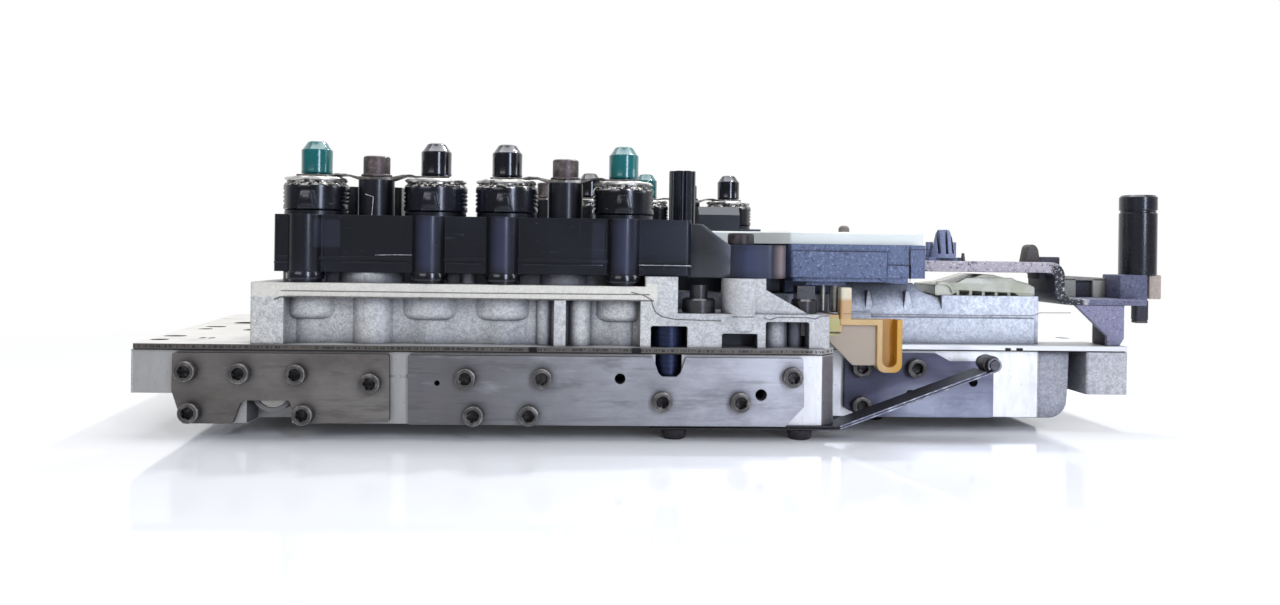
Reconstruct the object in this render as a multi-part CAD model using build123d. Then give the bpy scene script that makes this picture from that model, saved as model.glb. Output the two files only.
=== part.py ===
from build123d import *
from math import cos, pi, sin
import os

# Automatic transmission valve body: two aluminium castings with a steel plate between them,
# eight solenoids in a black plastic carrier, an electronic unit, a selector slide and a detent leaf.
# Bench frame, in millimetres: X runs along the length, Y goes back from the outer face of the
# front covers, Z goes up from the surface that the screw heads stand on.

# Fits
fit = 0.05               # radial clearance of a piece seated in its bore
hole_play = 0.1          # radial clearance of a screw in the casting
cover_play = 0.2         # radial clearance of a screw in a sheet or cover
seat_gap = 0.2
over = 1.0               # how far a cutter reaches past the wall that it opens

# Levels of the stack
foot_head = 3.9          # head of the screws that the body stands on
leaf_thick = 1.6         # detent leaf, clamped under the lower casting
lower_high = 26.9
gasket_thick = 0.5
plate_thick = 1.9
upper_high = 23.0
carrier_gap = 4.0        # from the upper casting to the underside of the carrier
carrier_high = 21.5
case_bottom = foot_head + leaf_thick
lower_top = case_bottom + lower_high
plate_bottom = lower_top + gasket_thick
plate_top = plate_bottom + plate_thick
upper_top = plate_top + upper_high
carrier_bottom = upper_top + carrier_gap
carrier_top = carrier_bottom + carrier_high

# Lower casting, seen from above
cover_thick = 2.3
case_front = cover_thick
case_back = 165.0
case_left = -187.4
left_slant = 20.0        # the left end leans out by this much towards the back
left_back = case_left - left_slant
corner_cut = 5.4
waist_right = 76.0       # where the front steps back to make room for the selector
waist_front = 24.3
wall_right = 165.1       # right end of the milled front, before the wall slants back
block_right = 181.5
notch_deep = 36.0        # gap between the wall and the right shelf
shelf_left = 184.0
shelf_right = 201.3
shelf_front = 22.3
shelf_back = 112.0
shelf_bottom = 15.2
back_corner = 15.0
back_slope = 30.0
case_round = 1.2
ledge_bottom = 16.4      # underside of the left tongue
tongue_foot = -171.5
toe = 5.9                # slope below the left tongue
foot_inset = 4.0
foot_corner = 28.0
shelf_corner = 18.0
case_bolt_radius = 3.3
case_bolt_places = [(-165, 60), (-165, 104), (193, 60), (193, 104)]
port_deep = 14.0         # drilled ports behind the small holes of the covers

# Hollows in the underside, as X, X, Y, Y, and the ribs and hollows of the rear wall
underside_pockets = [
    (-157, -122, 84, 114), (-112, -84, 110, 152), (-62, -40, 84, 112), (-34, -8, 84, 112), (0, 30, 84, 114),
    (62, 88, 66, 84), (58, 84, 138, 154), (112, 130, 84, 120), (136, 152, 84, 130), (118, 152, 32, 58),
]
pocket_high = 9.0
pocket_round = 3.0
rear_ribs = [28.0, 60.0, 92.0, 124.0]
rib_half = 1.5
rib_stand = 1.8
rear_hollows = [(32.5, 55.5), (64.5, 87.5), (96.5, 119.5)]
hollow_deep = 6.0
hollow_round = 2.5

# Separator plate, and its oil slots as X, Y, length and width
plate_lip = 1.6          # the plate stands this far out of the casting at the front
plate_edge = 1.4
gasket_inset = 0.6
ledge_slots = [
    (-183.0, 15.5, 6.8, 5.0), (-183.6, 30.0, 8.6, 5.0), (-185.3, 62.3, 6.0, 4.5), (-185.4, 73.7, 8.6, 5.0),
    (-180.0, 96.0, 12.0, 9.0), (-178.0, 120.0, 16.0, 6.0), (-170.0, 23.0, 2.4, 4.0), (-166.5, 23.0, 2.4, 4.0),
    (-152.5, 62.0, 8.0, 3.0), (176.0, 78.0, 10.0, 4.0), (186.0, 84.0, 12.0, 7.0),
]

# Upper casting
upper_left = -144.3
upper_step = 6.2         # right end of the high part
upper_waist = 73.0       # right end of the selector bay
upper_right = 167.2
upper_front = 2.0
upper_back = 163.0
upper_corner = 22.0
right_front = 30.0
rim_high = 5.3
pocket_depth = 8.0
pocket_turn = 5.0        # round between the sunk wall and its ends
end_block = 12.3
web_right = 24.4         # from the third solenoid to the web between the two front pockets
web_left = 20.0
step_web = 5.6
bulge_radius = 14.2
bulge_high = 8.6
bulge_round = 3.0
boss_radius = 11.4
boss_sink = 0.4          # the bosses stay behind the rim by this much
wall_bosses = [
    (-22.5, 9.2, 4.4), (-35.8, 10.2, 3.2), (-101.0, 15.0, 9.0), (-108.0, 155.5, 6.0), (-44.0, 156.0, 4.0),
]
bore_wall_top = 61.6     # raised front wall beside the bolt recess
bore_wall_right = 9.2
shelf_floor = 47.8       # top of the low selector bay
right_top = 54.6         # top of the part behind the selector
land_front = 14.4        # raised land under the carrier, between its feet
land_back = 24.0
land_gap = 0.3
land_left = -137.0
land_right = 15.0
pad_radii = [13.6, 10.8, 12.0, 12.0]
dowel_radius = 2.6
windows = [(4.6, 18.5, 43.0), (31.6, 45.2, 40.4), (48.3, 65.0, 45.0)]      # X, X and top
window_deep = 11.0
window_bars = [(53.2, 11.0, 5.0), (61.4, 11.6, 3.2)]
deck_channels = [
    (-132, -112, 44, 118), (-104, -84, 44, 70), (-104, -84, 78, 124), (-76, -58, 44, 96), (-50, -32, 44, 76),
    (-50, -32, 84, 124), (-24, -4, 44, 124),
]
right_channels = [
    (20, 60, 56, 70), (20, 36, 78, 124), (44, 60, 78, 124), (74, 112, 104, 118), (128, 152, 70, 110),
]
deck_channel_deep = 7.0
right_channel_deep = 6.0
bay_round = 0.8

# The block behind the selector: ridge with a scooped end, and a leaning wall stiffened by fins
ridge_top = 59.4
ridge_left = 82.0
ridge_right = 124.0
ridge_slope = 4.0
ridge_back = 96.0
scoop_radius = 9.0
lean_low = 48.7
lean_left = 84.5
lean_right = 126.5
lean_deep = 6.4
fin_places = [(94.4, 98.0), (110.4, 114.6)]
fin_top = 56.2
fin_taper = 1.4
fin_lean = 2.0
step_low = 45.3
step_high = 47.2
step_turn = 96.7
step_stand = 1.4

# Lug boss with its gusset
lug_screw_x = 39.6
lug_screw_y = 10.4
lug_boss_radius = 7.7
lug_boss_y = 8.6
lug_boss_low = 40.7
lug_boss_round = 1.6
lug_right = 57.4
lug_top = 74.1
lug_bottom = 61.3
lug_front = 3.2
lug_deep = 17.6
lug_round = 8.5
gusset_thick = 3.4

# Solenoids: plan places and sizes
front_row = 20.0
back_row = 150.0
front_stations = [-125.8, -79.6, -51.9, -6.0]
back_stations = [-66.6, -20.8, 9.3, 53.8]
nose_radius = 8.0
nose_tip_radius = 5.5
nose_tip_low = 18.0      # below the top of the upper casting
nose_low = 8.0
can_radius = 10.5
can_lift = 0.4
can_rise = 12.1          # can above the top of the carrier
crimp_radius = 10.2
crimp_thick = 2.6
collar_radius = 12.2
collar_high = 11.6
collar_gap = 1.7         # collar above the deck of the carrier
collar_bevel = 1.5
collar_groove = 0.6
collar_grooves = [2.2, 4.8, 7.4]
groove_wide = 1.0
collar_face = 7.2
latch_low = 3.6
latch_high = 2.4
latch_stand = 0.5
latch_top = 7.4
cap_radius = 5.9
cap_neck_radius = 5.0
cap_neck_high = 1.4
cap_high = 14.1
cap_top_radius = 3.8
cap_cone = 4.2
collar_bottom = carrier_top + collar_gap
deck_top = carrier_top + can_rise
crimp_top = deck_top + crimp_thick
solenoid_places = [(x, front_row) for x in front_stations] + [(x, back_row) for x in back_stations]
front_pillars = [(front_stations[0] + front_stations[1]) / 2, (front_stations[2] + front_stations[3]) / 2]
back_pillars = [(back_stations[0] + back_stations[1]) / 2, (back_stations[2] + back_stations[3]) / 2]
pillar_places = [(x, front_row) for x in front_pillars] + [(x, back_row) for x in back_pillars]

# Hold-down leaves between each pair of solenoids
pillar_radius = 6.85
pillar_drop = 0.6
pillar_top = crimp_top - pillar_drop
hold_thick = 1.3
hold_half = 5.0          # half width of the leaf at the screw
hold_waist = 3.6
hold_end = 7.0
hold_slot = 0.4
hold_knee = 1.5          # the leaf arches up by this much beside each cap

# Carrier
carrier_left = -137.6
carrier_right = 20.0
carrier_front = 6.0
bar_wide = 29.0
bar_round = 2.0
column_radius = 6.3
column_set = 1.6         # centre of a front column behind the bar's face
rear_column_set = 5.4
foot_radius = 5.9
rear_bar_left = -80.5
rear_bar_right = 69.5
frame_left = -96.0
frame_right = 14.0
frame_front = 30.0
frame_high = 8.0
frame_rib = 1.6
rib_high = 11.0
panel_sink = 0.7
panel_low = 5.2
panel_rim = 1.4
front_panels = [(-119.0, -112.4), (-22.6, -12.8)]
rear_panels = [(-75.0, -58.0), (-41.0, -29.0), (-12.5, 1.0), (17.5, 29.0), (34.0, 46.5)]
ledge_low = 4.6
ledge_thick = 1.2
ledge_stand = 0.8
block_left = -123.0
block_right_end = -100.4
block_near = 54.0
block_far = 68.0
block_top = 97.0
block_grooves = 7
groove_pitch = 3.6
flute_x = 20.9
flute_y = 60.0
flute_radius = 5.8
flute_top = 106.4
flute_cut = 1.1
socket_left = 34.0
socket_long = 20.5
socket_near = 112.0
socket_far = 130.0
socket_top = 93.8
socket_bevel = 4.2
skirt_left = 16.0        # apron under the right end of the front bar
skirt_right = 59.4
skirt_front = 31.5
skirt_thick = 4.5
skirt_gap = 0.6

# Screws: head radius, head height, shank radius
cover_low = 5.6
cover_high = 31.6
cover_screw_head = 3.8
cover_screw_high = 3.4
cover_screw_shank = 2.1
cover_screw_depth = 7.0
base_screw_head = 5.0
base_screw_shank = 2.6
base_screw_depth = 8.0
base_boss = 3.0
base_screw_places = [
    (-150, 60), (-152, 138), (-92, 92), (-30, 128), (44, 96), (100, 134), (104, 50), (162, 70),
]
carrier_screw_head = 5.1
carrier_screw_high = 7.0
carrier_screw_shank = 2.9
carrier_screw_washer = 0.8
lug_screw_high = 4.6
thread_deep = 6.0
washer_thick = 1.0
flange_bolt_radii = [6.4, 5.0]
flange_bolt_high = 5.6
flange_bevel = 0.8
stud_radius = 3.5
stud_high = 5.1
stud_deep = 8.6
flange_bolt_places = [(23.4, 9.4), (65.0, 12.0)]
key_share = 0.5          # width of the key recess as a share of the head

# Covers, as X and Z of their screws, and X, Z and radius of their holes
left_cover_screws = [
    (-165.8, 24.9), (-146.4, 24.3), (-126.0, 24.1), (-99.0, 21.0), (-164.2, 9.8), (-123.3, 9.3),
]
middle_cover_screws = [
    (-64.1, 23.1), (-35.9, 23.3), (-61.0, 9.3), (-40.6, 9.5), (9.1, 15.0), (38.5, 14.9), (58.2, 24.4),
]
right_cover_screws = [(90.6, 25.6), (112.9, 25.5), (90.7, 10.3)]
rear_cover_screws = [
    (-150.0, 24.0), (-118.0, 11.0), (-86.0, 24.0), (-54.0, 11.0), (-22.0, 24.0), (10.0, 11.0),
]
middle_cover_holes = [(-74.8, 21.1, 1.0), (-6.8, 23.2, 2.0), (46.5, 17.5, 2.2)]
right_cover_holes = [(111.0, 15.0, 1.6), (136.9, 19.8, 1.8)]
notch_top = cover_low + 8.6
left_cover_outline = [
    (-171.3, cover_high), (-92.6, cover_high), (-92.2, cover_low + 0.9), (-126.3, cover_low), (-128.7, notch_top),
    (-144.4, notch_top), (-146.6, notch_top - 0.9), (-149.4, cover_low), (-167.4, cover_low), (-171.4, cover_low + 12),
]
middle_cover_outline = [
    (-85.6, cover_high - 0.2), (5.5, cover_high - 0.2), (7.6, 25.4), (9.0, 24.1), (14.4, 24.1), (15.8, 25.4),
    (17.9, cover_high - 0.2), (62.4, cover_high - 0.2), (62.9, 13.1), (55.8, cover_low), (-85.2, cover_low),
]
right_cover_outline = [
    (84.2, 31.4), (121.5, 31.4), (127.5, 28.2), (145.2, 28.2), (145.2, cover_low), (91.4, cover_low), (84.2, 9.2),
]
rear_cover_outline = [
    (-162.0, cover_high), (20.0, cover_high), (20.0, 12.0), (12.0, cover_low + 0.4), (-162.0, cover_low + 0.4),
]
plain_round = 0.9
sharp_round = 0.5
rear_round = 2.0

# Valve bores that run back from the front covers
bore_stations = [-136.0, -50.5, 24.5]
bore_level = 17.0
bore_deep = 68.0
bore_wall = 1.8
spool_radius = 6.0
spool_neck = 3.6
spool_long = 46.0
spool_lands = [(1.5, 12.5), (19.0, 30.0), (36.0, 44.0)]
valve_spring_radius = 4.9
valve_spring_wire = 1.2
valve_spring_turns = 3

# Selector: slide, manual valve and its bore in the upper casting
slide_front = 12.9
slide_thick = 5.4
slide_left = 75.3
slide_web_right = 94.5
pocket_wide = 5.8
pocket_wall = 2.1
pocket_deep = 4.3
slide_bottom = 24.6
slide_top = 45.5
fork_round = 3.4
web_low = 27.3
web_corner = 9.9
web_notch = 37.2
web_back = 39.8
web_set = 1.4
web_thick = 2.0
rail_wide = 2.3
post_left = 79.8
post_wide = 4.5
post_top = 58.0
hook_wide = 4.2
hook_low = 40.4
hook_wall = 1.2
manual_radius = 4.6
manual_neck = 2.9
manual_level = 43.0
manual_row = 21.0
manual_left = 20.0
manual_lands = [(21.5, 32.0), (41.0, 54.0), (62.0, 72.0)]

# Detent leaf, roller and pin
strip_left = 4.7
strip_front = 0.6
strip_wide = 12.0
strip_back = strip_front + strip_wide
strip_middle = strip_front + strip_wide / 2
strip_screws = [14.2, 62.7]
bend_x = 76.5
roller_x = 136.5
roller_z = 29.3
roller_radius = 3.4
roller_play = 0.2
pin_radius = 1.9
pin_play = 0.04
pin_proud = 0.3
leaf_spring_thick = 1.1
prong_wide = 2.6
prong_long = 5.4

# Electronic unit and its lid
unit_left = 60.0
unit_right = 115.9
unit_front = 14.0
unit_back = 128.0
unit_bottom = 60.1
unit_top = 74.9
unit_step = 72.2         # rebate along the front, which drops to a lower step further right
unit_step_low = 67.0
unit_step_turn = 98.6
unit_slit = 107.6
slit_half = 0.4
slit_deep = 3.0
unit_foot_left = 95.6
unit_foot_low = 59.6
unit_plug_right = 81.0
unit_plug_back = 60.0
unit_plug_front = 34.0
unit_floor = 1.6
unit_bevel_long = 8.0
unit_bevel_deep = 6.0
wing_left = 29.0
wing_front = 36.5
wing_back = 108.0
unit_ribs = 7
unit_rib_pitch = 6.0
lid_left = 29.0
lid_front = 17.0
lid_inset = 1.6
lid_high = 5.0
lid_bevel = 0.6
dome_x = 84.9
dome_y = 29.0
dome_radius = 2.2
dome_high = 2.9
unit_pins = [(74.6, 21.2, 1.2), (79.5, 21.2, 2.2)]      # X, Y and radius
pin_block_low = 58.6

# Oil guide on the block behind the selector
guide_left = 124.0
guide_right = 166.0
guide_front = 31.0
guide_deep = 26.0
guide_top = 63.4
guide_wall = 1.6
guide_ribs = 6
guide_rib_pitch = 5.4

# Sensor arm, sensor post and clip
arm_front = 25.4
arm_deep = 24.0
arm_top = 68.9
arm_bottom = 51.4
arm_band = 4.4
arm_flange = 2.4
arm_drop_x = 175.0
arm_right = 210.9
arm_wall = 2.4
arm_windows = [(181.0, 187.0), (192.0, 199.5)]
arm_window_top = 61.0
spike_x = 135.1
spike_top = 72.4
peg_low = 43.5
clip_x = 128.7
clip_y = 35.4
clip_base_radius = 5.2
clip_high = 12.9
clip_foot = 1.4
sensor_x = 218.1
sensor_y = 45.0
sensor_radius = 7.5
sensor_low = 63.9
sensor_top = 98.2
sensor_ring = 91.1
sensor_spigot = 4.6
spigot_long = 3.5

# Locating sleeve between the castings
sleeve_x = 11.5
sleeve_y = 10.2
sleeve_radius = 6.7
sleeve_low = 23.4
sleeve_top = 42.8
sleeve_wall = 2.2
sleeve_bore = 12.0
sleeve_mouth = 5.0


def rounded(points, radius=0.0):
    """A flat outline with every corner rounded by the same radius."""
    face = make_face(Polyline(*points, close=True))
    return fillet(face.vertices(), radius) if radius else face


def plan(points, low, high, radius=0.0):
    """An outline in X and Y, raised from one level to another."""
    return extrude(Pos(0, 0, low) * rounded(points, radius), amount=high - low)


def front_view(points, near, far, radius=0.0):
    """An outline in X and Z, taken back from one depth to another."""
    face = Plane(origin=(0, near, 0), x_dir=(1, 0, 0), z_dir=(0, -1, 0)) * rounded(points, radius)
    return extrude(face, amount=near - far)


def side_view(points, left, right):
    """An outline in Y and Z, taken along X from one place to another."""
    face = Plane(origin=(left, 0, 0), x_dir=(0, 1, 0), z_dir=(1, 0, 0)) * rounded(points)
    return extrude(face, amount=right - left)


def block(x0, x1, y0, y1, z0, z1, radius=0.0):
    """A block with its upright edges rounded."""
    return plan([(x0, y0), (x1, y0), (x1, y1), (x0, y1)], z0, z1, radius)


def upright(x, y, radius, low, high):
    """A round bar standing at one place."""
    return Pos(x, y, (low + high) / 2) * Cylinder(radius, high - low)


def lengthwise(x0, x1, y, z, radius):
    """A round bar along X."""
    return Pos((x0 + x1) / 2, y, z) * Rot(0, 90, 0) * Cylinder(radius, x1 - x0)


def depthwise(x, z, radius, y0, y1):
    """A round bar along Y."""
    return Pos(x, (y0 + y1) / 2, z) * Rot(90, 0, 0) * Cylinder(radius, y1 - y0)


def turned(profile):
    """A turned piece about Z, from its radius and height points."""
    face = make_face(Plane.XZ * Polyline(*profile, close=True))
    return revolve(face, Axis.Z)


def screw(head, high, shank, depth, washer=0.0):
    """A cap screw with its seat at Z = 0, a hexagonal key recess and perhaps a washer face."""
    base = washer_thick if washer else 0.0
    profile = [(0, -depth), (shank, -depth), (shank, 0), (head + washer, 0), (head + washer, base), (head, base),
               (head, base + high), (0, base + high)]
    if not washer:
        profile = [point for k, point in enumerate(profile) if k not in (4, 5)]
    key = extrude(RegularPolygon(head * key_share, 6), amount=high)
    return turned(profile) - Pos(0, 0, base + high / 2) * key


# Lower casting


def front_outline():
    """The front of the lower casting, from the corner beside the middle cover to the slanting right wall."""
    return [
        (waist_right - corner_cut, case_front), (waist_right, case_front + corner_cut), (waist_right, waist_front),
        (wall_right, waist_front), (block_right, waist_front + notch_deep),
    ]


def lower_outline():
    """Plan of the joint face, with the left end leaning out and the right shelf."""
    return [(case_left, case_front)] + front_outline() + [
        (shelf_left, waist_front + notch_deep), (shelf_left, shelf_front), (shelf_right, shelf_front),
        (shelf_right, shelf_back), (block_right - 10, case_back - back_corner), (block_right - back_slope, case_back),
        (left_back + back_corner, case_back), (left_back, case_back - back_corner),
    ]


def drilled(body, places, radius, near, far):
    """Blind holes along Y."""
    for x, z in places:
        body -= depthwise(x, z, radius, near, far)
    return body


def lower_housing():
    body = plan(lower_outline(), ledge_bottom, lower_top, case_round)
    foot = [(tongue_foot, case_front)] + front_outline() + [
        (block_right, shelf_back + shelf_corner), (block_right - foot_corner, case_back - foot_inset),
        (tongue_foot, case_back - foot_inset),
    ]
    body += plan(foot, case_bottom, ledge_bottom, case_round)
    body += block(shelf_left, shelf_right, shelf_front, shelf_back - foot_inset, shelf_bottom, ledge_bottom + over,
                  case_round)
    slope = [(tongue_foot - 2 * over, ledge_bottom), (tongue_foot, ledge_bottom), (tongue_foot + toe, case_bottom - over),
             (tongue_foot - 2 * over, case_bottom - over)]
    body -= front_view(slope, -over, case_back + over)
    for x0, x1, y0, y1 in underside_pockets:
        body -= block(x0, x1, y0, y1, case_bottom - over, case_bottom + pocket_high, pocket_round)
    screw_top = foot_head + base_screw_depth + over
    for x, y in base_screw_places:
        body += upright(x, y, base_screw_head + base_boss, foot_head, case_bottom + pocket_high)
        body -= upright(x, y, base_screw_shank + hole_play, foot_head - over, screw_top)
    for x in strip_screws:
        body -= upright(x, strip_middle, base_screw_shank + hole_play, case_bottom - over, screw_top)
    body = bore_front(body)
    for x in bore_stations:
        body -= depthwise(x, bore_level, spool_radius + fit, case_front - over, case_front + bore_deep)
    shank = cover_screw_shank + hole_play
    deep = cover_screw_depth + seat_gap
    body = drilled(body, left_cover_screws + middle_cover_screws, shank, case_front - over, case_front + deep)
    body = drilled(body, right_cover_screws, shank, waist_front - over, waist_front + deep)
    body = drilled(body, rear_cover_screws, shank, case_back - deep, case_back + over)
    for x, z, radius in middle_cover_holes:
        body -= depthwise(x, z, radius, case_front - over, case_front + port_deep)
    for x, z, radius in right_cover_holes:
        body -= depthwise(x, z, radius, waist_front - over, waist_front + port_deep)
    # The half-round pocket of the steel sleeve, open to the front behind the cover's notch
    body -= upright(sleeve_x, sleeve_y, sleeve_radius + fit, sleeve_low, lower_top + over)
    body -= block(sleeve_x - sleeve_mouth, sleeve_x + sleeve_mouth, case_front - over, sleeve_y, sleeve_low,
                  lower_top + over)
    for x, y in case_bolt_places:
        body -= upright(x, y, case_bolt_radius, case_bottom - over, lower_top + over)
    return rear_wall(body)


def bore_front(body):
    """Opens the front below the notch of the left cover, round the wall of the first bore."""
    x = bore_stations[0]
    recess = 12.0
    body -= block(x - 9, x + 7.6, case_front - over, case_front + recess, case_bottom - over, bore_level - 3)
    return body + depthwise(x, bore_level, spool_radius + bore_wall, case_front + 1.2, case_front + recess + over)


def rear_wall(body):
    """Ribs and shallow hollows cast into the rear wall beside its cover."""
    for x in rear_ribs:
        body += block(x - rib_half, x + rib_half, case_back - 8, case_back + rib_stand, case_bottom, lower_top, 0.6)
    for x0, x1 in rear_hollows:
        outline = [(x0, case_bottom + 3), (x1, case_bottom + 3), (x1, lower_top - 4), (x0, lower_top - 4)]
        body -= front_view(outline, case_back - hollow_deep, case_back + over, hollow_round)
    return body


# Separator plate and the thin gasket under it


def plate_outline(inset):
    near = case_front - plate_lip + inset
    step = waist_front - 2 + inset
    return [
        (case_left + plate_edge, near), (waist_right - 6, near), (waist_right - 0.5, near + 6),
        (waist_right - 0.5, step), (shelf_right - inset, step), (shelf_right - inset, shelf_back - over),
        (block_right - 11, case_back - back_corner - over), (block_right - back_slope - over, case_back - over),
        (left_back + back_corner + over, case_back - over), (left_back + plate_edge, case_back - back_corner),
    ]


def with_bolt_holes(body):
    for x, y in case_bolt_places:
        body -= upright(x, y, case_bolt_radius, lower_top - over, plate_top + over)
    return body - upright(sleeve_x, sleeve_y, sleeve_radius + fit, lower_top - over, plate_top + over)


def separator_plate():
    body = with_bolt_holes(plan(plate_outline(0.0), plate_bottom, plate_top, 1.0))
    for x, y, long, wide in ledge_slots:
        radius = min(long, wide) / 2 - fit
        body -= block(x - long / 2, x + long / 2, y - wide / 2, y + wide / 2, lower_top, plate_top + over, radius)
    return body


def separator_gasket():
    return with_bolt_holes(plan(plate_outline(gasket_inset), lower_top, plate_bottom, 1.0))


# Upper casting


def solenoid_wall(body, x0, x1, wall, inward, row, stations):
    """Sinks a pocket into an outer wall and leaves a round, stepped boss for every solenoid bore."""
    high = upper_top - rim_high
    near, far = sorted((wall - inward * 2 * pocket_turn, wall + inward * pocket_depth))
    body -= block(x0, x1, near, far, plate_top, high, pocket_turn)
    near, far = sorted((wall + inward * boss_sink, row))
    reach = bulge_radius + pocket_turn
    for x in stations:
        bulge = upright(x, row, bulge_radius, high - bulge_high, high + over)
        bulge = fillet(bulge.edges().sort_by(Axis.Z)[0], bulge_round)
        boss = bulge + upright(x, row, boss_radius, plate_top, high)
        keep = block(max(x - reach, x0 - over), min(x + reach, x1 + over), near, far, plate_top, high + over)
        body += boss & keep
    return body


def selector_bay(body):
    """Low shelf in front of the right part: raised wall, lug boss with gusset, windows and bolt recess."""
    back = right_front + over
    body += block(upper_step - 2, upper_waist, upper_front, back, plate_top, shelf_floor, bay_round)
    body += block(upper_step - 4, upper_step + bore_wall_right, upper_front, back, plate_top, bore_wall_top, bay_round)
    top_left, foot_right = lug_screw_x + lug_boss_radius, upper_waist - 9
    gusset = [(lug_screw_x, shelf_floor - over), (foot_right, shelf_floor - over), (foot_right, shelf_floor + 0.6),
              (top_left + 1.1, 57.1), (top_left + 1.1, lug_bottom), (lug_screw_x, lug_bottom)]
    body += front_view(gusset, upper_front + over, upper_front + over + gusset_thick)
    for x0, x1, top in windows:
        outline = [(x0, plate_top - over), (x1, plate_top - over), (x1, top), (x0, top)]
        body -= front_view(outline, upper_front - over, upper_front + window_deep, plain_round)
    for x, y, radius in window_bars:
        body += upright(x, y, radius, plate_top, shelf_floor - over)
    x, y = flange_bolt_places[0]
    body -= block(x - 8.7, x + 6.8, upper_front - over, y + 8, shelf_floor, upper_top + 8, 1.0)
    boss = upright(lug_screw_x, lug_boss_y, lug_boss_radius, lug_boss_low, lug_bottom)
    return body + fillet(boss.edges().sort_by(Axis.Z)[0], lug_boss_round)


def leaning_wall(x0, x1, deep):
    """Wedge along X between the upright front and a face that leans back by the given depth."""
    near = right_front - 2 * over
    return side_view([(near, lean_low), (right_front, lean_low), (right_front + deep, ridge_top + over),
                      (near, ridge_top + over)], x0, x1)


def block_behind_selector(body):
    """Right part: ridge with its scooped end, leaning wall with two fins, and the stepped front ledge."""
    right = [(upper_step, right_front), (upper_right, right_front), (upper_right, shelf_back),
             (upper_right - upper_corner, upper_back), (upper_step, upper_back)]
    body += plan(right, plate_top, right_top)
    ridge = [(ridge_left, right_top - over), (ridge_right, right_top - over), (ridge_right, ridge_top),
             (ridge_left + ridge_slope, ridge_top), (ridge_left, right_top + over)]
    ridge = front_view(ridge, right_front, ridge_back)
    ridge -= depthwise(ridge_right, right_top + scoop_radius, scoop_radius, right_front - over, ridge_back + over)
    body += ridge
    body -= leaning_wall(lean_left, lean_right, lean_deep)
    for x0, x1 in fin_places:
        fin = [(x0, lean_low - over), (x1, lean_low - over), (x1 - fin_taper, fin_top), (x0 + fin_taper, fin_top)]
        body += front_view(fin, right_front, right_front + lean_deep) - leaning_wall(x0, x1, fin_lean)
    near = right_front - step_stand
    body += block(lean_left, upper_right - 2, near, right_front + over, plate_top, step_low, sharp_round)
    body += block(lean_left, step_turn, near, right_front + over, plate_top, step_high, sharp_round)
    return body


def upper_housing():
    body = block(upper_left, upper_step, upper_front, upper_back, plate_top, upper_top, 1.0)
    body = block_behind_selector(body)
    body = selector_bay(body)
    pocket_left = upper_left + end_block
    body = solenoid_wall(body, pocket_left, front_stations[2] + web_left, upper_front, 1, front_row, front_stations[:3])
    body = solenoid_wall(body, front_stations[2] + web_right, upper_step - step_web, upper_front, 1, front_row,
                         front_stations[3:])
    body = solenoid_wall(body, pocket_left, upper_step - step_web, upper_back, -1, back_row, back_stations[:2])
    for x, y, radius in wall_bosses:
        body += upright(x, y, radius, plate_top, upper_top - rim_high)
    # Raised land and round pads under the carrier, and a dowel boss between the second and third solenoid
    body += block(land_left, land_right, land_front, land_back, upper_top - over, carrier_bottom - land_gap, bar_round)
    for (x, y), radius in zip(pillar_places, pad_radii):
        body += upright(x, y, radius, right_top - over, carrier_bottom)
    body += upright((front_stations[1] + front_stations[2]) / 2, land_front - over, dowel_radius, upper_top - over,
                    carrier_bottom)
    return upper_bores(body)


def upper_bores(body):
    """Bores for the solenoids, screws, bolts, manual valve and sleeve, and the open channels on the deck."""
    above = carrier_bottom + over
    for x, y in solenoid_places:
        body -= upright(x, y, nose_radius + fit, upper_top - nose_low, above)
        body -= upright(x, y, nose_tip_radius + fit, upper_top - nose_tip_low - seat_gap, upper_top)
    for x, y in pillar_places + [(lug_screw_x, lug_screw_y)]:
        body -= upright(x, y, carrier_screw_shank + hole_play, upper_top - thread_deep - 2 * over, above)
    for x, y in flange_bolt_places:
        body -= upright(x, y, stud_radius + cover_play, shelf_floor - stud_deep - seat_gap, shelf_floor + over)
    body -= lengthwise(manual_left - 4, upper_waist + over, manual_row, manual_level, manual_radius + fit)
    body -= upright(sleeve_x, sleeve_y, sleeve_radius + fit, plate_top - over, sleeve_top + seat_gap)
    for x0, x1, y0, y1 in deck_channels:
        body -= block(x0, x1, y0, y1, upper_top - deck_channel_deep, upper_top + over, pocket_round)
    for x0, x1, y0, y1 in right_channels:
        body -= block(x0, x1, y0, y1, right_top - right_channel_deep, right_top + over, pocket_round)
    return body


# Covers: stamped steel


def cover(outline, near, screws, radius, holes=()):
    body = front_view(outline, near, near + cover_thick, radius)
    for x, z in screws:
        body -= depthwise(x, z, cover_screw_shank + cover_play, near - over, near + cover_thick + over)
    for x, z, hole in holes:
        body -= depthwise(x, z, hole, near - over, near + cover_thick + over)
    return body


def cover_screws():
    part = screw(cover_screw_head, cover_screw_high, cover_screw_shank, cover_thick + cover_screw_depth)
    placed = [Pos(x, 0, z) * Rot(90, 0, 0) * part for x, z in left_cover_screws + middle_cover_screws]
    near = waist_front - cover_thick
    placed += [Pos(x, near, z) * Rot(90, 0, 0) * part for x, z in right_cover_screws]
    far = case_back + cover_thick
    placed += [Pos(x, far, z) * Rot(-90, 0, 0) * part for x, z in rear_cover_screws]
    return Compound(placed)


# Screws and bolts


def base_screws():
    part = screw(base_screw_head, foot_head, base_screw_shank, base_screw_depth)
    spots = base_screw_places + [(x, strip_middle) for x in strip_screws]
    return Compound([Pos(x, y, foot_head) * Rot(180, 0, 0) * part for x, y in spots])


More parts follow.
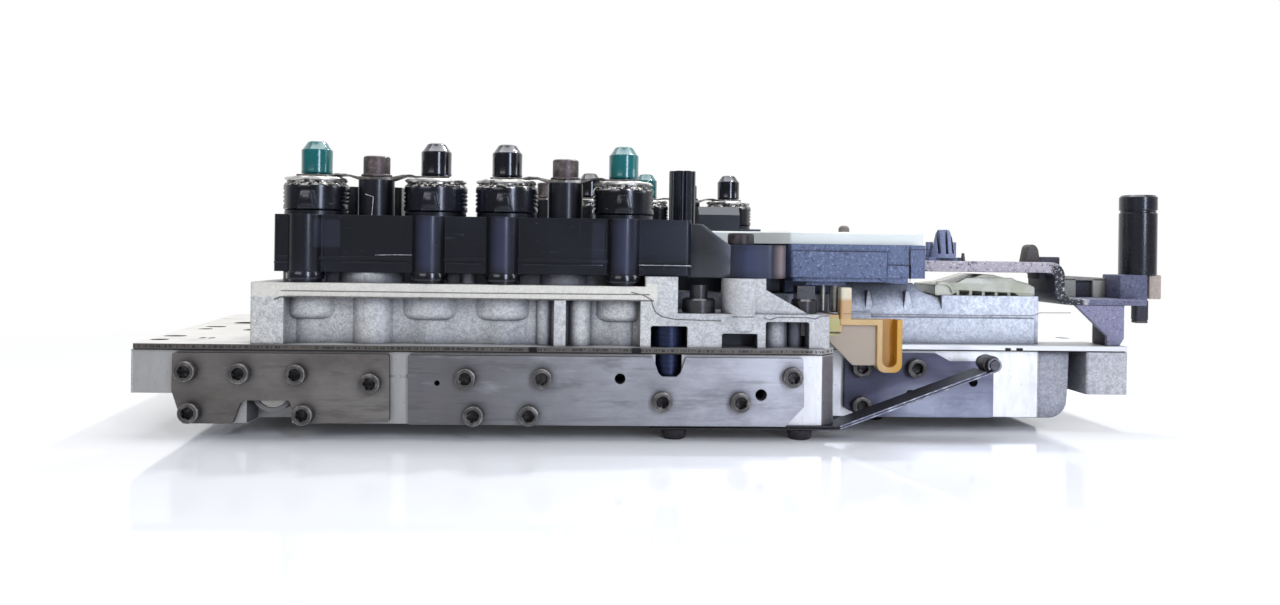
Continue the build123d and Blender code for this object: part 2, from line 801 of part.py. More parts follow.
def carrier_screws():
    """Tall screws down the pillars, and the lower one in the lug."""
    seat = pillar_top + hold_thick
    tall = screw(carrier_screw_head, carrier_screw_high, carrier_screw_shank, seat - upper_top + thread_deep,
                 carrier_screw_washer)
    short = screw(carrier_screw_head, lug_screw_high, carrier_screw_shank, lug_top - upper_top + thread_deep)
    placed = [Pos(x, y, seat) * tall for x, y in pillar_places]
    return Compound(placed + [Pos(lug_screw_x, lug_screw_y, lug_top) * short])


def flange_bolts():
    """Flanged bolts; the first has a plain neck above its flange, the second a square one."""
    placed = []
    for (x, y), radius in zip(flange_bolt_places, flange_bolt_radii):
        body = turned([(0, -stud_deep), (stud_radius, -stud_deep), (stud_radius, 0), (radius, 0),
                       (radius, flange_bolt_high - flange_bevel), (radius - flange_bevel, flange_bolt_high),
                       (0, flange_bolt_high)])
        if placed:
            body += Pos(0, 0, flange_bolt_high + stud_high / 2) * Box(2 * stud_radius, 2 * stud_radius, stud_high)
        else:
            body += upright(0, 0, stud_radius, flange_bolt_high, flange_bolt_high + stud_high)
        placed.append(Pos(x, y, shelf_floor) * body)
    return Compound(placed)


def locating_sleeve():
    body = upright(sleeve_x, sleeve_y, sleeve_radius, sleeve_low, sleeve_top)
    return body - upright(sleeve_x, sleeve_y, sleeve_radius - sleeve_wall, sleeve_low - over, sleeve_low + sleeve_bore)


def locating_pins():
    """Two hardened pins that hang from the electronic unit behind the selector's post."""
    long = unit_bottom - shelf_floor
    tip = 0.6
    placed = []
    for x, y, radius in unit_pins:
        pin = turned([(0, -long), (radius - tip, -long), (radius, tip - long), (radius, 0), (0, 0)])
        placed.append(Pos(x, y, unit_bottom) * pin)
    return Compound(placed)


def oil_guide():
    """Ribbed translucent moulding that lies on the block behind the selector."""
    left, right, low, far = guide_left, guide_right, right_top, guide_front + guide_deep
    arch = [(left, low), (right, low), (right, low + 3.6), (right - 3, low + 5.4), (right - 18, guide_top),
            (left + 20, guide_top), (left + 9, low + 5.4), (left, low + 4.4)]
    body = front_view(arch, guide_front, far, bay_round)
    body -= front_view([(left + 5, low - over), (right - 5, low - over), (right - 17, guide_top - guide_wall),
                        (left + 19, guide_top - guide_wall)], guide_front - over, far - guide_wall)
    for k in range(guide_ribs):
        rib = left + 9 + k * guide_rib_pitch
        body += block(rib, rib + 1.2, guide_front, far - over, low, guide_top) & front_view(arch, guide_front, far)
    return body


# Valves behind the front covers, each with its return spring


def spool():
    """A three-land spool, its front end at Y = 0."""
    profile = [(0, 0), (spool_neck, 0)]
    for start, end in spool_lands:
        profile += [(spool_neck, start), (spool_radius, start), (spool_radius, end), (spool_neck, end)]
    return Rot(-90, 0, 0) * turned(profile + [(spool_neck, spool_long), (0, spool_long)])


def valve_spring():
    """A coil of flat-sided wire, from Y = 0 back."""
    long = bore_deep - spool_long - 3 * seat_gap
    pitch = (long - valve_spring_wire) / valve_spring_turns
    path = Helix(pitch, long - valve_spring_wire, valve_spring_radius - valve_spring_wire / 2)
    start = Plane(path @ 0, z_dir=path % 0)
    wire = sweep(start * Rectangle(valve_spring_wire, valve_spring_wire), path=path, is_frenet=True)
    return Rot(-90, 0, 0) * Pos(0, 0, valve_spring_wire / 2) * wire


# Solenoids


def solenoid_can():
    """Steel can with its nose, from the top of the upper casting up to the crimped disc."""
    can_bottom = carrier_bottom + can_lift
    profile = [
        (0, upper_top - nose_tip_low), (nose_tip_radius, upper_top - nose_tip_low),
        (nose_tip_radius, upper_top - nose_low), (nose_radius, upper_top - nose_low), (nose_radius, can_bottom),
        (can_radius, can_bottom), (can_radius, deck_top), (crimp_radius, deck_top), (crimp_radius, crimp_top),
        (0, crimp_top),
    ]
    return turned(profile)


def solenoid_collar():
    """Plastic collar with grooved sides, a bevelled top and a smooth face with a latch at the front."""
    bore, top = can_radius + fit, collar_bottom + collar_high
    profile = [(bore, collar_bottom), (collar_radius, collar_bottom)]
    for groove in collar_grooves:
        low, high = collar_bottom + groove, collar_bottom + groove + groove_wide
        profile += [(collar_radius, low), (collar_radius - collar_groove, low), (collar_radius - collar_groove, high),
                    (collar_radius, high)]
    profile += [(collar_radius, top - collar_bevel), (collar_radius - collar_bevel, top), (bore, top)]
    body = turned(profile)
    near = -collar_radius - latch_stand
    face = upright(0, 0, collar_radius, collar_bottom, top - collar_bevel)
    face &= block(-collar_face, collar_face, near, -can_radius * 0.5, collar_bottom, top)
    latch = [(-latch_low, collar_bottom), (latch_low, collar_bottom), (latch_high, collar_bottom + latch_top),
             (-latch_high, collar_bottom + latch_top)]
    face += front_view(latch, near, -can_radius)
    return body + (face - upright(0, 0, bore, collar_bottom - over, top + over))


def solenoid_cap():
    """Moulded cap with a narrow neck, a straight side and a truncated cone on top."""
    low, top = crimp_top + cap_neck_high, crimp_top + cap_high
    return turned([(0, crimp_top), (cap_neck_radius, crimp_top), (cap_neck_radius, low), (cap_radius, low),
                   (cap_radius, top - cap_cone), (cap_top_radius, top), (0, top)])


# Carrier


def panel(x0, x1):
    """Outline of a sunk panel in the wall of a bar."""
    low, high = carrier_bottom + panel_low, carrier_top - panel_rim
    return [(x0, low), (x1, low), (x1, high), (x0, high)]


def carrier_bars():
    """Two solenoid bars with a ribbed frame between them, sunk panels and a ledge line along the front."""
    half = bar_wide / 2
    rear_face = back_row + half
    body = block(carrier_left, carrier_right, carrier_front, front_row + half, carrier_bottom, carrier_top, bar_round)
    body += block(rear_bar_left, rear_bar_right, back_row - half, rear_face, carrier_bottom, carrier_top, bar_round)
    body += block(frame_left, frame_right, frame_front, back_row - 10, carrier_bottom, carrier_bottom + frame_high, 3)
    for x0, x1 in front_panels:
        body -= front_view(panel(x0, x1), carrier_front - over, carrier_front + panel_sink, sharp_round)
    for x0, x1 in rear_panels:
        body -= front_view(panel(x0, x1), rear_face - panel_sink, rear_face + over, sharp_round)
    low = carrier_bottom + ledge_low
    ledge = [(carrier_left + bar_round, low), (carrier_right - bar_round, low),
             (carrier_right - bar_round, low + ledge_thick), (carrier_left + bar_round, low + ledge_thick)]
    body += front_view(ledge, carrier_front - ledge_stand, carrier_front + over)
    for x in range(-84, 0, 14):
        body += block(x, x + frame_rib, frame_front + 4, back_row - 14, carrier_bottom, carrier_bottom + rib_high)
    for y in (62, 92, 120):
        body += block(frame_left + 2, frame_right - 2, y, y + frame_rib, carrier_bottom, carrier_bottom + rib_high)
    return body


def carrier_lug(body):
    """Lug over the right casting boss, with the sloping end of the bar."""
    root = carrier_right - over
    slope = [(root, lug_bottom), (lug_screw_x, lug_bottom), (lug_screw_x, lug_top), (lug_screw_x - 5, lug_top),
             (carrier_right + 4, carrier_top - 1.4), (root, carrier_top - 1.4)]
    body += front_view(slope, carrier_front + 0.4, carrier_front + 12)
    body += block(skirt_left, skirt_right, skirt_front, skirt_front + skirt_thick, right_top + skirt_gap,
                  carrier_bottom + over, sharp_round)
    left = lug_screw_x - lug_round + 1.6
    return body + block(left, lug_right, lug_front, lug_front + lug_deep, lug_bottom, lug_top, lug_round)


def carrier_towers(body):
    """Towers behind the front row: ribbed connector block, fluted post and bevelled socket."""
    foot = carrier_bottom + frame_high
    tower = block(block_left, block_right_end, block_near, block_far, carrier_bottom, block_top, 1.0)
    for k in range(block_grooves):
        x = block_left - sharp_round + groove_pitch * k
        tower -= block(x, x + frame_rib, block_near - over, block_near + over, carrier_bottom + 12, block_top + over)
    body += tower + block(block_left, frame_left, frame_front + 4, block_far, carrier_bottom, foot)
    post = upright(flute_x, flute_y, flute_radius, carrier_bottom, flute_top)
    middle = (foot + flute_top) / 2
    for k in range(8):
        turn = k * pi / 4
        x, y = flute_x + flute_radius * cos(turn), flute_y + flute_radius * sin(turn)
        post -= upright(x, y, flute_cut, middle - 10, flute_top + over)
    body += post + block(frame_right - 6, flute_x + 2.6, flute_y - 10, flute_y + 10, carrier_bottom, foot)
    socket = [(socket_near, carrier_bottom), (socket_far, carrier_bottom), (socket_far, socket_top),
              (socket_near + socket_bevel, socket_top), (socket_near, socket_top - socket_bevel)]
    body += side_view(socket, socket_left, socket_left + socket_long)
    return body + block(socket_left - 4, socket_left + 24, socket_far - 2, back_row, carrier_bottom, carrier_top, 1)


def solenoid_carrier():
    body = carrier_bars()
    front_columns, rear_columns = carrier_front + column_set, back_row + bar_wide / 2 - rear_column_set
    columns = [(x, front_columns) for x in front_stations] + [(x, rear_columns) for x in back_stations]
    for x, y in columns:
        body += upright(x, y, column_radius, carrier_bottom - over, carrier_top)
        body += upright(x, y, foot_radius, upper_top + hole_play, carrier_bottom)
    for x, y in solenoid_places:
        body += upright(x, y, collar_radius - 0.4, carrier_top - over, collar_bottom - hole_play)
    for x, y in pillar_places:
        body += upright(x, y, pillar_radius, carrier_top - over, pillar_top)
    body = carrier_towers(carrier_lug(body))
    # Holes for the cans and for the screws
    for x, y in solenoid_places:
        body -= upright(x, y, can_radius + fit, carrier_bottom + seat_gap, carrier_top + 3)
        body -= upright(x, y, nose_radius + can_lift, upper_top - over, carrier_bottom + over)
    shank = carrier_screw_shank + hole_play
    for x, y in pillar_places:
        body -= upright(x, y, shank, carrier_bottom - over, pillar_top + over)
    body -= upright(lug_screw_x, lug_screw_y, shank, lug_bottom - over, lug_top + over)
    return body - upright(lug_screw_x, lug_screw_y, carrier_screw_head + 0.6, lug_top, carrier_top + over)


def hold_down(left, middle, right, row):
    """Spring steel leaf forked round the necks of two caps and screwed to the pillar between them."""
    seat = crimp_top + fit
    knee = seat + hold_knee
    reach = cap_radius
    top = [
        (left - reach, seat), (left + 6.6, seat), (left + 8.8, knee), (left + 12, knee), (middle - 6.5, pillar_top),
        (middle + 6.5, pillar_top), (right - 12, knee), (right - 8.8, knee), (right - 6.6, seat), (right + reach, seat),
    ]
    under = [(x, z + hold_thick) for x, z in reversed(top)]
    body = front_view(top + under, row - hold_end - over, row + hold_end + over)
    edge = [(left - reach, hold_end), (left + 6, hold_end), (left + 11, hold_waist), (middle - 6, hold_waist),
            (middle, hold_half), (middle + 6, hold_waist), (right - 11, hold_waist), (right - 6, hold_end),
            (right + reach, hold_end)]
    outline = [(x, row - half) for x, half in edge] + [(x, row + half) for x, half in reversed(edge)]
    body &= plan(outline, seat - over, knee + hold_thick + over, bay_round)
    gap = cap_neck_radius + hold_slot
    for x, away in ((left, -10), (right, 10)):
        body -= upright(x, row, gap, seat - over, knee)
        body -= block(min(x, x + away), max(x, x + away), row - gap, row + gap, seat - over, knee)
    return body - upright(middle, row, carrier_screw_shank + hole_play, seat - over, knee + hold_thick)


# Electronic unit, its lid and the sensor arm


def control_unit():
    right, back = unit_right, unit_back
    outline = [(unit_left, unit_front), (right - unit_bevel_long, unit_front), (right, unit_front + unit_bevel_deep),
               (right, back), (unit_left, back)]
    body = plan(outline, unit_bottom + unit_floor, unit_top, 1.5)
    body += block(unit_left + 1, right - 8.6, unit_front + 1, back - 2, unit_bottom, unit_bottom + 2, 1.5)
    body += block(wing_left, unit_left + 1, wing_front, wing_back, unit_bottom + 2.4, unit_top, 1.0)
    # Stepped rebate and slit in the front, the foot below it and the plug towards the valve body
    rebate = [(unit_left - over, unit_step), (unit_step_turn, unit_step), (unit_step_turn, unit_step_low),
              (unit_slit, unit_step_low), (unit_slit, unit_top + over), (unit_left - over, unit_top + over)]
    body -= front_view(rebate, unit_front - over, unit_front + 0.6)
    foot = [(unit_foot_left, unit_bottom + 3), (unit_foot_left, unit_bottom + over), (unit_foot_left + 6, unit_foot_low),
            (right - 9, unit_foot_low), (right - 9, unit_bottom + 3)]
    body += front_view(foot, unit_front + 0.4, unit_front + 14)
    body -= block(unit_slit - slit_half, unit_slit + slit_half, unit_front - over, unit_front + slit_deep,
                  unit_foot_low - over, unit_step_low)
    body += block(unit_left + 1.5, unit_plug_right, unit_plug_front, unit_plug_back, right_top + land_gap,
                  unit_bottom + over, 0.5)
    # The block round the heads of the locating pins
    x, y, radius = unit_pins[0]
    clear = radius + 2 * seat_gap
    body += block(x - 8, unit_pins[1][0] + 3.4, y - 4, y - clear - radius, pin_block_low, unit_bottom + 1)
    # Cooling ribs at the rear
    for k in range(unit_ribs):
        rib = unit_left + 8 + unit_rib_pitch * k
        body += block(rib, rib + 2, back - over, back + 2.2, unit_bottom + 3, unit_top - 2, 0.6)
    return body


def control_unit_cover():
    low, high, right = unit_top, unit_top + lid_high, unit_right - lid_inset
    outline = [
        (lid_left, 34), (40, 34), (46.5, lid_front + 14), (60.5, lid_front), (right, lid_front), (right, unit_back - 2),
        (unit_left, unit_back - 2), (unit_left - 4.6, wing_back - 2), (lid_left + 2, wing_back - 2),
    ]
    body = plan(outline, low, high, 2.0)
    body = chamfer(body.faces().sort_by(Axis.Z)[-1].edges(), lid_bevel)
    dome = upright(dome_x, dome_y, dome_radius, high - over, high + dome_high)
    body += fillet(dome.edges().sort_by(Axis.Z)[-1], dome_radius * 0.8)
    # Shallow field with moulded ribs on the top
    body -= block(66, right - 8, 52, 108, high - 0.8, high + over, 3.0)
    for y in (62, 78, 94):
        body += block(70, right - 12, y, y + 1.6, high - 1.2, high)
    return body


def arm_band_outline():
    """Front view of the arm: level beam, S-bend and flange."""
    flange_top = arm_bottom + arm_flange
    beam_bottom = arm_top - arm_band
    drop = arm_drop_x
    return [
        (unit_right, arm_top), (drop - 3, arm_top), (drop + 0.5, arm_top - 3), (drop + 1.5, flange_top + 2),
        (drop + 4, flange_top), (arm_right, flange_top), (arm_right, arm_bottom), (drop + 1, arm_bottom),
        (drop - 3, arm_bottom + 4), (drop - 4, beam_bottom - 1), (drop - 5, beam_bottom), (unit_right, beam_bottom),
    ]


def sensor_arm():
    far, end, drop = arm_front + arm_deep, arm_right, arm_drop_x
    flange_top = arm_bottom + arm_flange
    beam_bottom = arm_top - arm_band
    body = front_view(arm_band_outline(), arm_front, far, 0.4)
    wall = [(drop - 1, arm_bottom), (end - 4, arm_bottom), (end - 4, 62.2), (drop - 1, 63.6)]
    body += front_view(wall, far - arm_wall, far)
    for x0, x1 in arm_windows:
        body -= front_view([(x0, flange_top), (x1, flange_top), (x1, arm_window_top), (x0, arm_window_top)],
                           far - arm_wall - over, far + over)
    body += block(end - 6, end + 6.2, arm_front + 10, far, arm_bottom, sensor_low, 1.0)
    # Gusset and leg down to the right shelf
    leg = shelf_right - 7.0
    gusset = [(180.9, arm_bottom + over), (shelf_right + 0.2, arm_bottom + over), (shelf_right + 0.2, plate_top + 3),
              (shelf_right - 1.6, plate_top), (leg, plate_top), (leg, plate_top + 4)]
    body += front_view(gusset, arm_front + 0.4, arm_front + 2.8)
    body += block(leg - 0.2, shelf_right - 1.6, arm_front + 2, arm_front + 12, plate_top, arm_bottom + over, 0.8)
    brace = [(shelf_right - 2, plate_top + 6), (shelf_right + 6.4, arm_bottom + over),
             (shelf_right - 2, arm_bottom + over)]
    body += front_view(brace, arm_front + 10, arm_front + 12)
    # Tab, block and spike on the beam
    tab = [(162.6, arm_top - over), (168.2, arm_top - over), (167.3, 75.0), (166.3, 76.2), (164.6, 76.2),
           (163.6, 75.0)]
    body += front_view(tab, arm_front + 6, arm_front + 12)
    body += block(168.6, 177.4, arm_front + 7, arm_front + 18, beam_bottom - 3, arm_top + 2.2, 0.6)
    body += block(spike_x - 0.5, spike_x + 0.5, arm_front + 3.6, arm_front + 5.4, arm_top - over, spike_top)
    # Peg, and the small connector block at the far right
    body += block(end + 1.7, end + 7.1, arm_front + 10.6, arm_front + 15, peg_low, arm_bottom + 2, 0.8)
    body += block(end + 9.2, end + 14.6, arm_front + 14, arm_front + 21, arm_bottom + 2.2, sensor_low, 0.6)
    body += block(end + 5, end + 12, arm_front + 15, far, arm_bottom + 4, sensor_low - 2)
    return body - upright(sensor_x, sensor_y, sensor_spigot + fit, sensor_low - spigot_long - over, sensor_low + over)


def sensor_post():
    low, ring, top, radius = sensor_low, sensor_ring, sensor_top, sensor_radius
    groove = radius - 0.5
    profile = [(0, low - spigot_long), (sensor_spigot, low - spigot_long), (sensor_spigot, low), (radius, low),
               (radius, ring - 0.7), (groove, ring - 0.4), (groove, ring + 0.4), (radius, ring + 0.7), (radius, top - 0.9),
               (radius - 0.9, top), (5.0, top), (5.0, top - 1.0), (0, top - 1.0)]
    return Pos(sensor_x, sensor_y, 0) * turned(profile)


def arm_clip():
    """Slotted cone clip in its square bracket on the beam."""
    x, y, low = clip_x, clip_y, arm_top
    body = block(x - 7, x + 7, y - 3, y + 6, low, low + clip_foot, 0.5)
    for x0, x1 in [(x - 5.8, x - 3.4), (x + 3.6, x + 6.6)]:
        body += block(x0, x1, y + 2, y + 5, low, low + 7.8, 0.6)
    body += block(x - 6, x + 6, y + 3, y + 5, low, low + 2.6)
    cone = turned([(0, low + 1), (clip_base_radius, low + 1), (3.1, low + 11.4), (2.2, low + clip_high),
                   (0, low + clip_high)])
    for slot, near in ((0, -6), (2.8, -4), (-2.8, -4)):
        cone -= block(slot - 0.5, slot + 0.5, near, near + 4, low + 2.8, low + clip_high + over)
    return body + Pos(x, y - 0.2, 0) * cone


# Selector slide and manual valve


def selector_slide():
    far = slide_front + slide_thick
    fork_left = slide_web_right
    right = fork_left + pocket_wide + 2 * pocket_wall
    rail_low = slide_top - rail_wide
    web_near = slide_front + web_set
    outline = [(slide_left, web_back), (slide_left, web_notch), (slide_left + web_corner, web_low),
               (fork_left + 0.5, web_low), (fork_left + 0.5, slide_top), (post_left, slide_top), (post_left, web_back)]
    body = front_view(outline, web_near, web_near + web_thick)
    # Rail along the top edge of the web and the post with its pale tip
    rail = [(post_left, rail_low), (fork_left + over, rail_low), (fork_left + over, slide_top), (post_left, slide_top)]
    body += front_view(rail, slide_front, far, 0.5)
    post = block(post_left, post_left + post_wide, slide_front, far, rail_low, post_top, 0.9)
    body += fillet(post.faces().sort_by(Axis.Z)[-1].edges(), 0.8)
    # Fork: an upright pocket that is open at the top and to the front
    fork = [(fork_left, slide_top), (fork_left, slide_bottom), (right, slide_bottom), (right, slide_top)]
    wall = front_view(fork, slide_front, far)
    wall = fillet(wall.edges().filter_by(Axis.Y).sort_by(Axis.Z)[:2], fork_round)
    x0, x1 = fork_left + pocket_wall, right - pocket_wall
    inside = [(x0, slide_top + over), (x0, slide_bottom + pocket_wall), (x1, slide_bottom + pocket_wall),
              (x1, slide_top + over)]
    hollow = front_view(inside, slide_front - over, slide_front + pocket_deep)
    hollow = fillet(hollow.edges().filter_by(Axis.Y).sort_by(Axis.Z)[:2], pocket_wide / 2 - 0.2)
    body += wall - hollow
    # Hook that takes the end of the manual valve
    near = slide_front + 0.4
    body += block(slide_left, slide_left + hook_wide, near, manual_row + 4.4, hook_low, manual_level + 4.2, 0.6)
    body += block(slide_left, post_left + over, near, far, hook_low, slide_top, 0.5)
    return body - lengthwise(slide_left - over, slide_left + hook_wide - hook_wall, manual_row, manual_level,
                             manual_neck + 0.02)


def manual_valve():
    end = slide_left + hook_wide - hook_wall
    profile = [(0, manual_left), (manual_neck, manual_left)]
    for start, stop in manual_lands:
        profile += [(manual_neck, start), (manual_radius, start), (manual_radius, stop), (manual_neck, stop)]
    profile += [(manual_neck, end), (0, end)]
    return Pos(0, manual_row, manual_level) * Rot(0, 90, 0) * turned(profile)


# Detent leaf, roller and pin


def detent_spring():
    """Flat strip, bent up, with its end rolled round the pin and forked round the roller."""
    low, high = foot_head, foot_head + leaf_thick
    slope = (roller_z - low) / (roller_x - bend_x)
    stretch = (1 + slope * slope) ** 0.5
    eye = pin_radius + pin_play + leaf_spring_thick
    strip = [(strip_left, low), (bend_x, low), (bend_x, high), (strip_left, high)]
    leaf = [(bend_x - 1.5, low), (bend_x, low), (roller_x, roller_z - eye * stretch),
            (roller_x, roller_z - (eye - leaf_spring_thick) * stretch), (bend_x, high), (bend_x - 1.5, high)]
    body = front_view(strip, strip_front, strip_back) + front_view(leaf, strip_front, strip_back)
    body += depthwise(roller_x, roller_z, eye, strip_front, strip_back)
    x0, x1 = roller_x - prong_long, roller_x + 3 * eye
    gap = [(x0, low - over), (x1, low - over), (x1, roller_z + 3 * eye), (x0, roller_z + 3 * eye)]
    body -= front_view(gap, strip_front + prong_wide, strip_back - prong_wide)
    body -= depthwise(roller_x, roller_z, pin_radius + pin_play, strip_front - over, strip_back + over)
    for x in strip_screws:
        body -= upright(x, strip_middle, base_screw_shank + cover_play, low - over, high + over)
    return body


def detent_roller():
    near, far = strip_front + prong_wide + roller_play, strip_back - prong_wide - roller_play
    body = depthwise(roller_x, roller_z, roller_radius, near, far)
    return body - depthwise(roller_x, roller_z, pin_radius + pin_play, near - over, far + over)


def detent_pin():
    return depthwise(roller_x, roller_z, pin_radius, strip_front - pin_proud, strip_back + pin_proud)


# Assemble, centre on the footprint and write
right_near = waist_front - cover_thick
pieces = {
    "lower_housing": lower_housing(),
    "separator_gasket": separator_gasket(),
    "separator_plate": separator_plate(),
    "upper_housing": upper_housing(),
    "front_cover_left": cover(left_cover_outline, 0.0, left_cover_screws, plain_round),
    "front_cover_middle": cover(middle_cover_outline, 0.0, middle_cover_screws, sharp_round, middle_cover_holes),
    "front_cover_right": cover(right_cover_outline, right_near, right_cover_screws, plain_round, right_cover_holes),
    "rear_cover": cover(rear_cover_outline, case_back, rear_cover_screws, rear_round),
    "cover_screws": cover_screws(),
    "base_screws": base_screws(),
    "flange_bolts": flange_bolts(),
    "locating_sleeve": locating_sleeve(),
    "locating_pins": locating_pins(),
    "oil_guide": oil_guide(),
    "solenoid_carrier": solenoid_carrier(),
    "control_unit": control_unit(),
    "control_unit_cover": control_unit_cover(),
    "carrier_screws": carrier_screws(),
    "selector_slide": selector_slide(),
    "manual_valve": manual_valve(),
    "detent_spring": detent_spring(),
    "detent_roller": detent_roller(),
    "detent_pin": detent_pin(),
    "sensor_arm": sensor_arm(),
    "sensor_post": sensor_post(),
    "arm_clip": arm_clip(),
}
valve, coil = spool(), valve_spring()
for k, x in enumerate(bore_stations, 1):
    pieces[f"valve_spool_{k}"] = Pos(x, case_front + hole_play, bore_level) * valve
    pieces[f"valve_spring_{k}"] = Pos(x, case_front + spool_long + 0.3, bore_level) * coil
can, collar, cap = solenoid_can(), solenoid_collar(), solenoid_cap()
for row, y, places, turn in (("front", front_row, front_stations, 0), ("back", back_row, back_stations, 180)):
    for k, x in enumerate(places, 1):
        pieces[f"solenoid_can_{row}_{k}"] = Pos(x, y, 0) * can
        pieces[f"solenoid_collar_{row}_{k}"] = Pos(x, y, 0) * Rot(0, 0, turn) * collar
        pieces[f"solenoid_cap_{row}_{k}"] = Pos(x, y, 0) * cap
for row, y, places in (("front", front_row, front_stations), ("back", back_row, back_stations)):
    for side, left, right in (("left", places[0], places[1]), ("right", places[2], places[3])):
        pieces[f"hold_down_{row}_{side}"] = hold_down(left, (left + right) / 2, right, y)

whole = Compound(list(pieces.values())).bounding_box()
centre = Pos(-(whole.min.X + whole.max.X) / 2, -(whole.min.Y + whole.max.Y) / 2, -whole.min.Z)
os.makedirs("parts", exist_ok=True)
for name, piece in pieces.items():
    export_step(centre * piece, f"parts/{name}.step")
print("pieces", len(pieces), "size", whole.size, "shift", centre.position)
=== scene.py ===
from math import atan2, cos, hypot, pi, radians, sin

import bmesh
import bpy
from mathutils import Matrix, Vector


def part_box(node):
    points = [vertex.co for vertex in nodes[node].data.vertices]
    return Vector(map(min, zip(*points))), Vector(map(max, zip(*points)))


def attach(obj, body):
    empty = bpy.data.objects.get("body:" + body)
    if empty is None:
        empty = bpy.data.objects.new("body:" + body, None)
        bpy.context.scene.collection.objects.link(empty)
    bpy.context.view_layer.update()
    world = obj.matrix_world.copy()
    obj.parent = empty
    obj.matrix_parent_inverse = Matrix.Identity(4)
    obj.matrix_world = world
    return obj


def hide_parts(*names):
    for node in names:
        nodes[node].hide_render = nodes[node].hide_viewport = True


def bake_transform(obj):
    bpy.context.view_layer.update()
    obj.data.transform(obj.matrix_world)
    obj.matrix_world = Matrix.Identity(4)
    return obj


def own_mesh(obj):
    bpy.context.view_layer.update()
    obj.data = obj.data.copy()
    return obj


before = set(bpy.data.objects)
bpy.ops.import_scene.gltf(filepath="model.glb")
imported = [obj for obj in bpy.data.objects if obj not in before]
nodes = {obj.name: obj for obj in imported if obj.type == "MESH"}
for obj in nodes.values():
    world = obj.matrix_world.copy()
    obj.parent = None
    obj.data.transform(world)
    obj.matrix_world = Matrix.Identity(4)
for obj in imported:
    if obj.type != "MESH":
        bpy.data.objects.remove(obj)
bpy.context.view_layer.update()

# Lower casting. Die-cast aluminium with a granular skin, milled bright on its front faces and its joint face.
# It carries the valve bores and stands on the heads of the screws that are driven up into it.
# Places are drawn in millimetres, up from the floor and back from the front face of the middle cover.
MM = 0.001
ALL = 900                 # a box that reaches this many millimetres on a side is open there
cover_low, cover_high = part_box("front_cover_middle")
zero_reach = 62.9         # from the zero of the drawings to the right end of that cover
origin = Vector((cover_high.x - zero_reach * MM, cover_low.y, 0))


def spot(x, y, z):
    """A place in metres, from millimetres to the right of, behind and above the zero of the drawings."""
    return origin + Vector((x, y, z)) * MM


class Shade:
    """A shader value. Sums, products and the like of these add the nodes that work them out."""

    def __init__(self, tree, socket=None):
        self.tree = tree
        self.socket = socket

    def node(self, kind, settings=None, inputs=None, output=0):
        made = self.tree.nodes.new(kind)
        for name, value in (settings or {}).items():
            setattr(made, name, value)
        for name, value in (inputs or {}).items():
            if isinstance(value, Shade):
                self.tree.links.new(value.socket, made.inputs[name])
            else:
                made.inputs[name].default_value = value
        return Shade(self.tree, made.outputs[output])

    def maths(self, operation, first, second):
        return self.node("ShaderNodeMath", {"operation": operation}, {0: first, 1: second})

    def __add__(self, other):
        return self.maths("ADD", self, other)

    def __radd__(self, other):
        return self.maths("ADD", other, self)

    def __sub__(self, other):
        return self.maths("SUBTRACT", self, other)

    def __rsub__(self, other):
        return self.maths("SUBTRACT", other, self)

    def __mul__(self, other):
        return self.maths("MULTIPLY", self, other)

    def __rmul__(self, other):
        return self.maths("MULTIPLY", other, self)

    def part(self, axis):
        """One of the three numbers of a place: 0 for X, 1 for Y, 2 for Z."""
        return self.node("ShaderNodeSeparateXYZ", {}, {0: self}, output=axis)

    def above(self, low, high):
        """0 below one level, 1 above the other, and a ramp between them."""
        inputs = {"Value": self, "From Min": low, "From Max": high}
        return self.node("ShaderNodeMapRange", {"clamp": True}, inputs)


def paint(red, green, blue, share=1.0):
    """A colour as it looks, from 0 to 255, or a darker or paler share of it, on the shader's own scale."""
    seen = [min(255, c * share) for c in (red, green, blue)]
    return (*[c / 255 / 12.92 if c < 11 else ((c / 255 + 0.055) / 1.055) ** 2.4 for c in seen], 1.0)


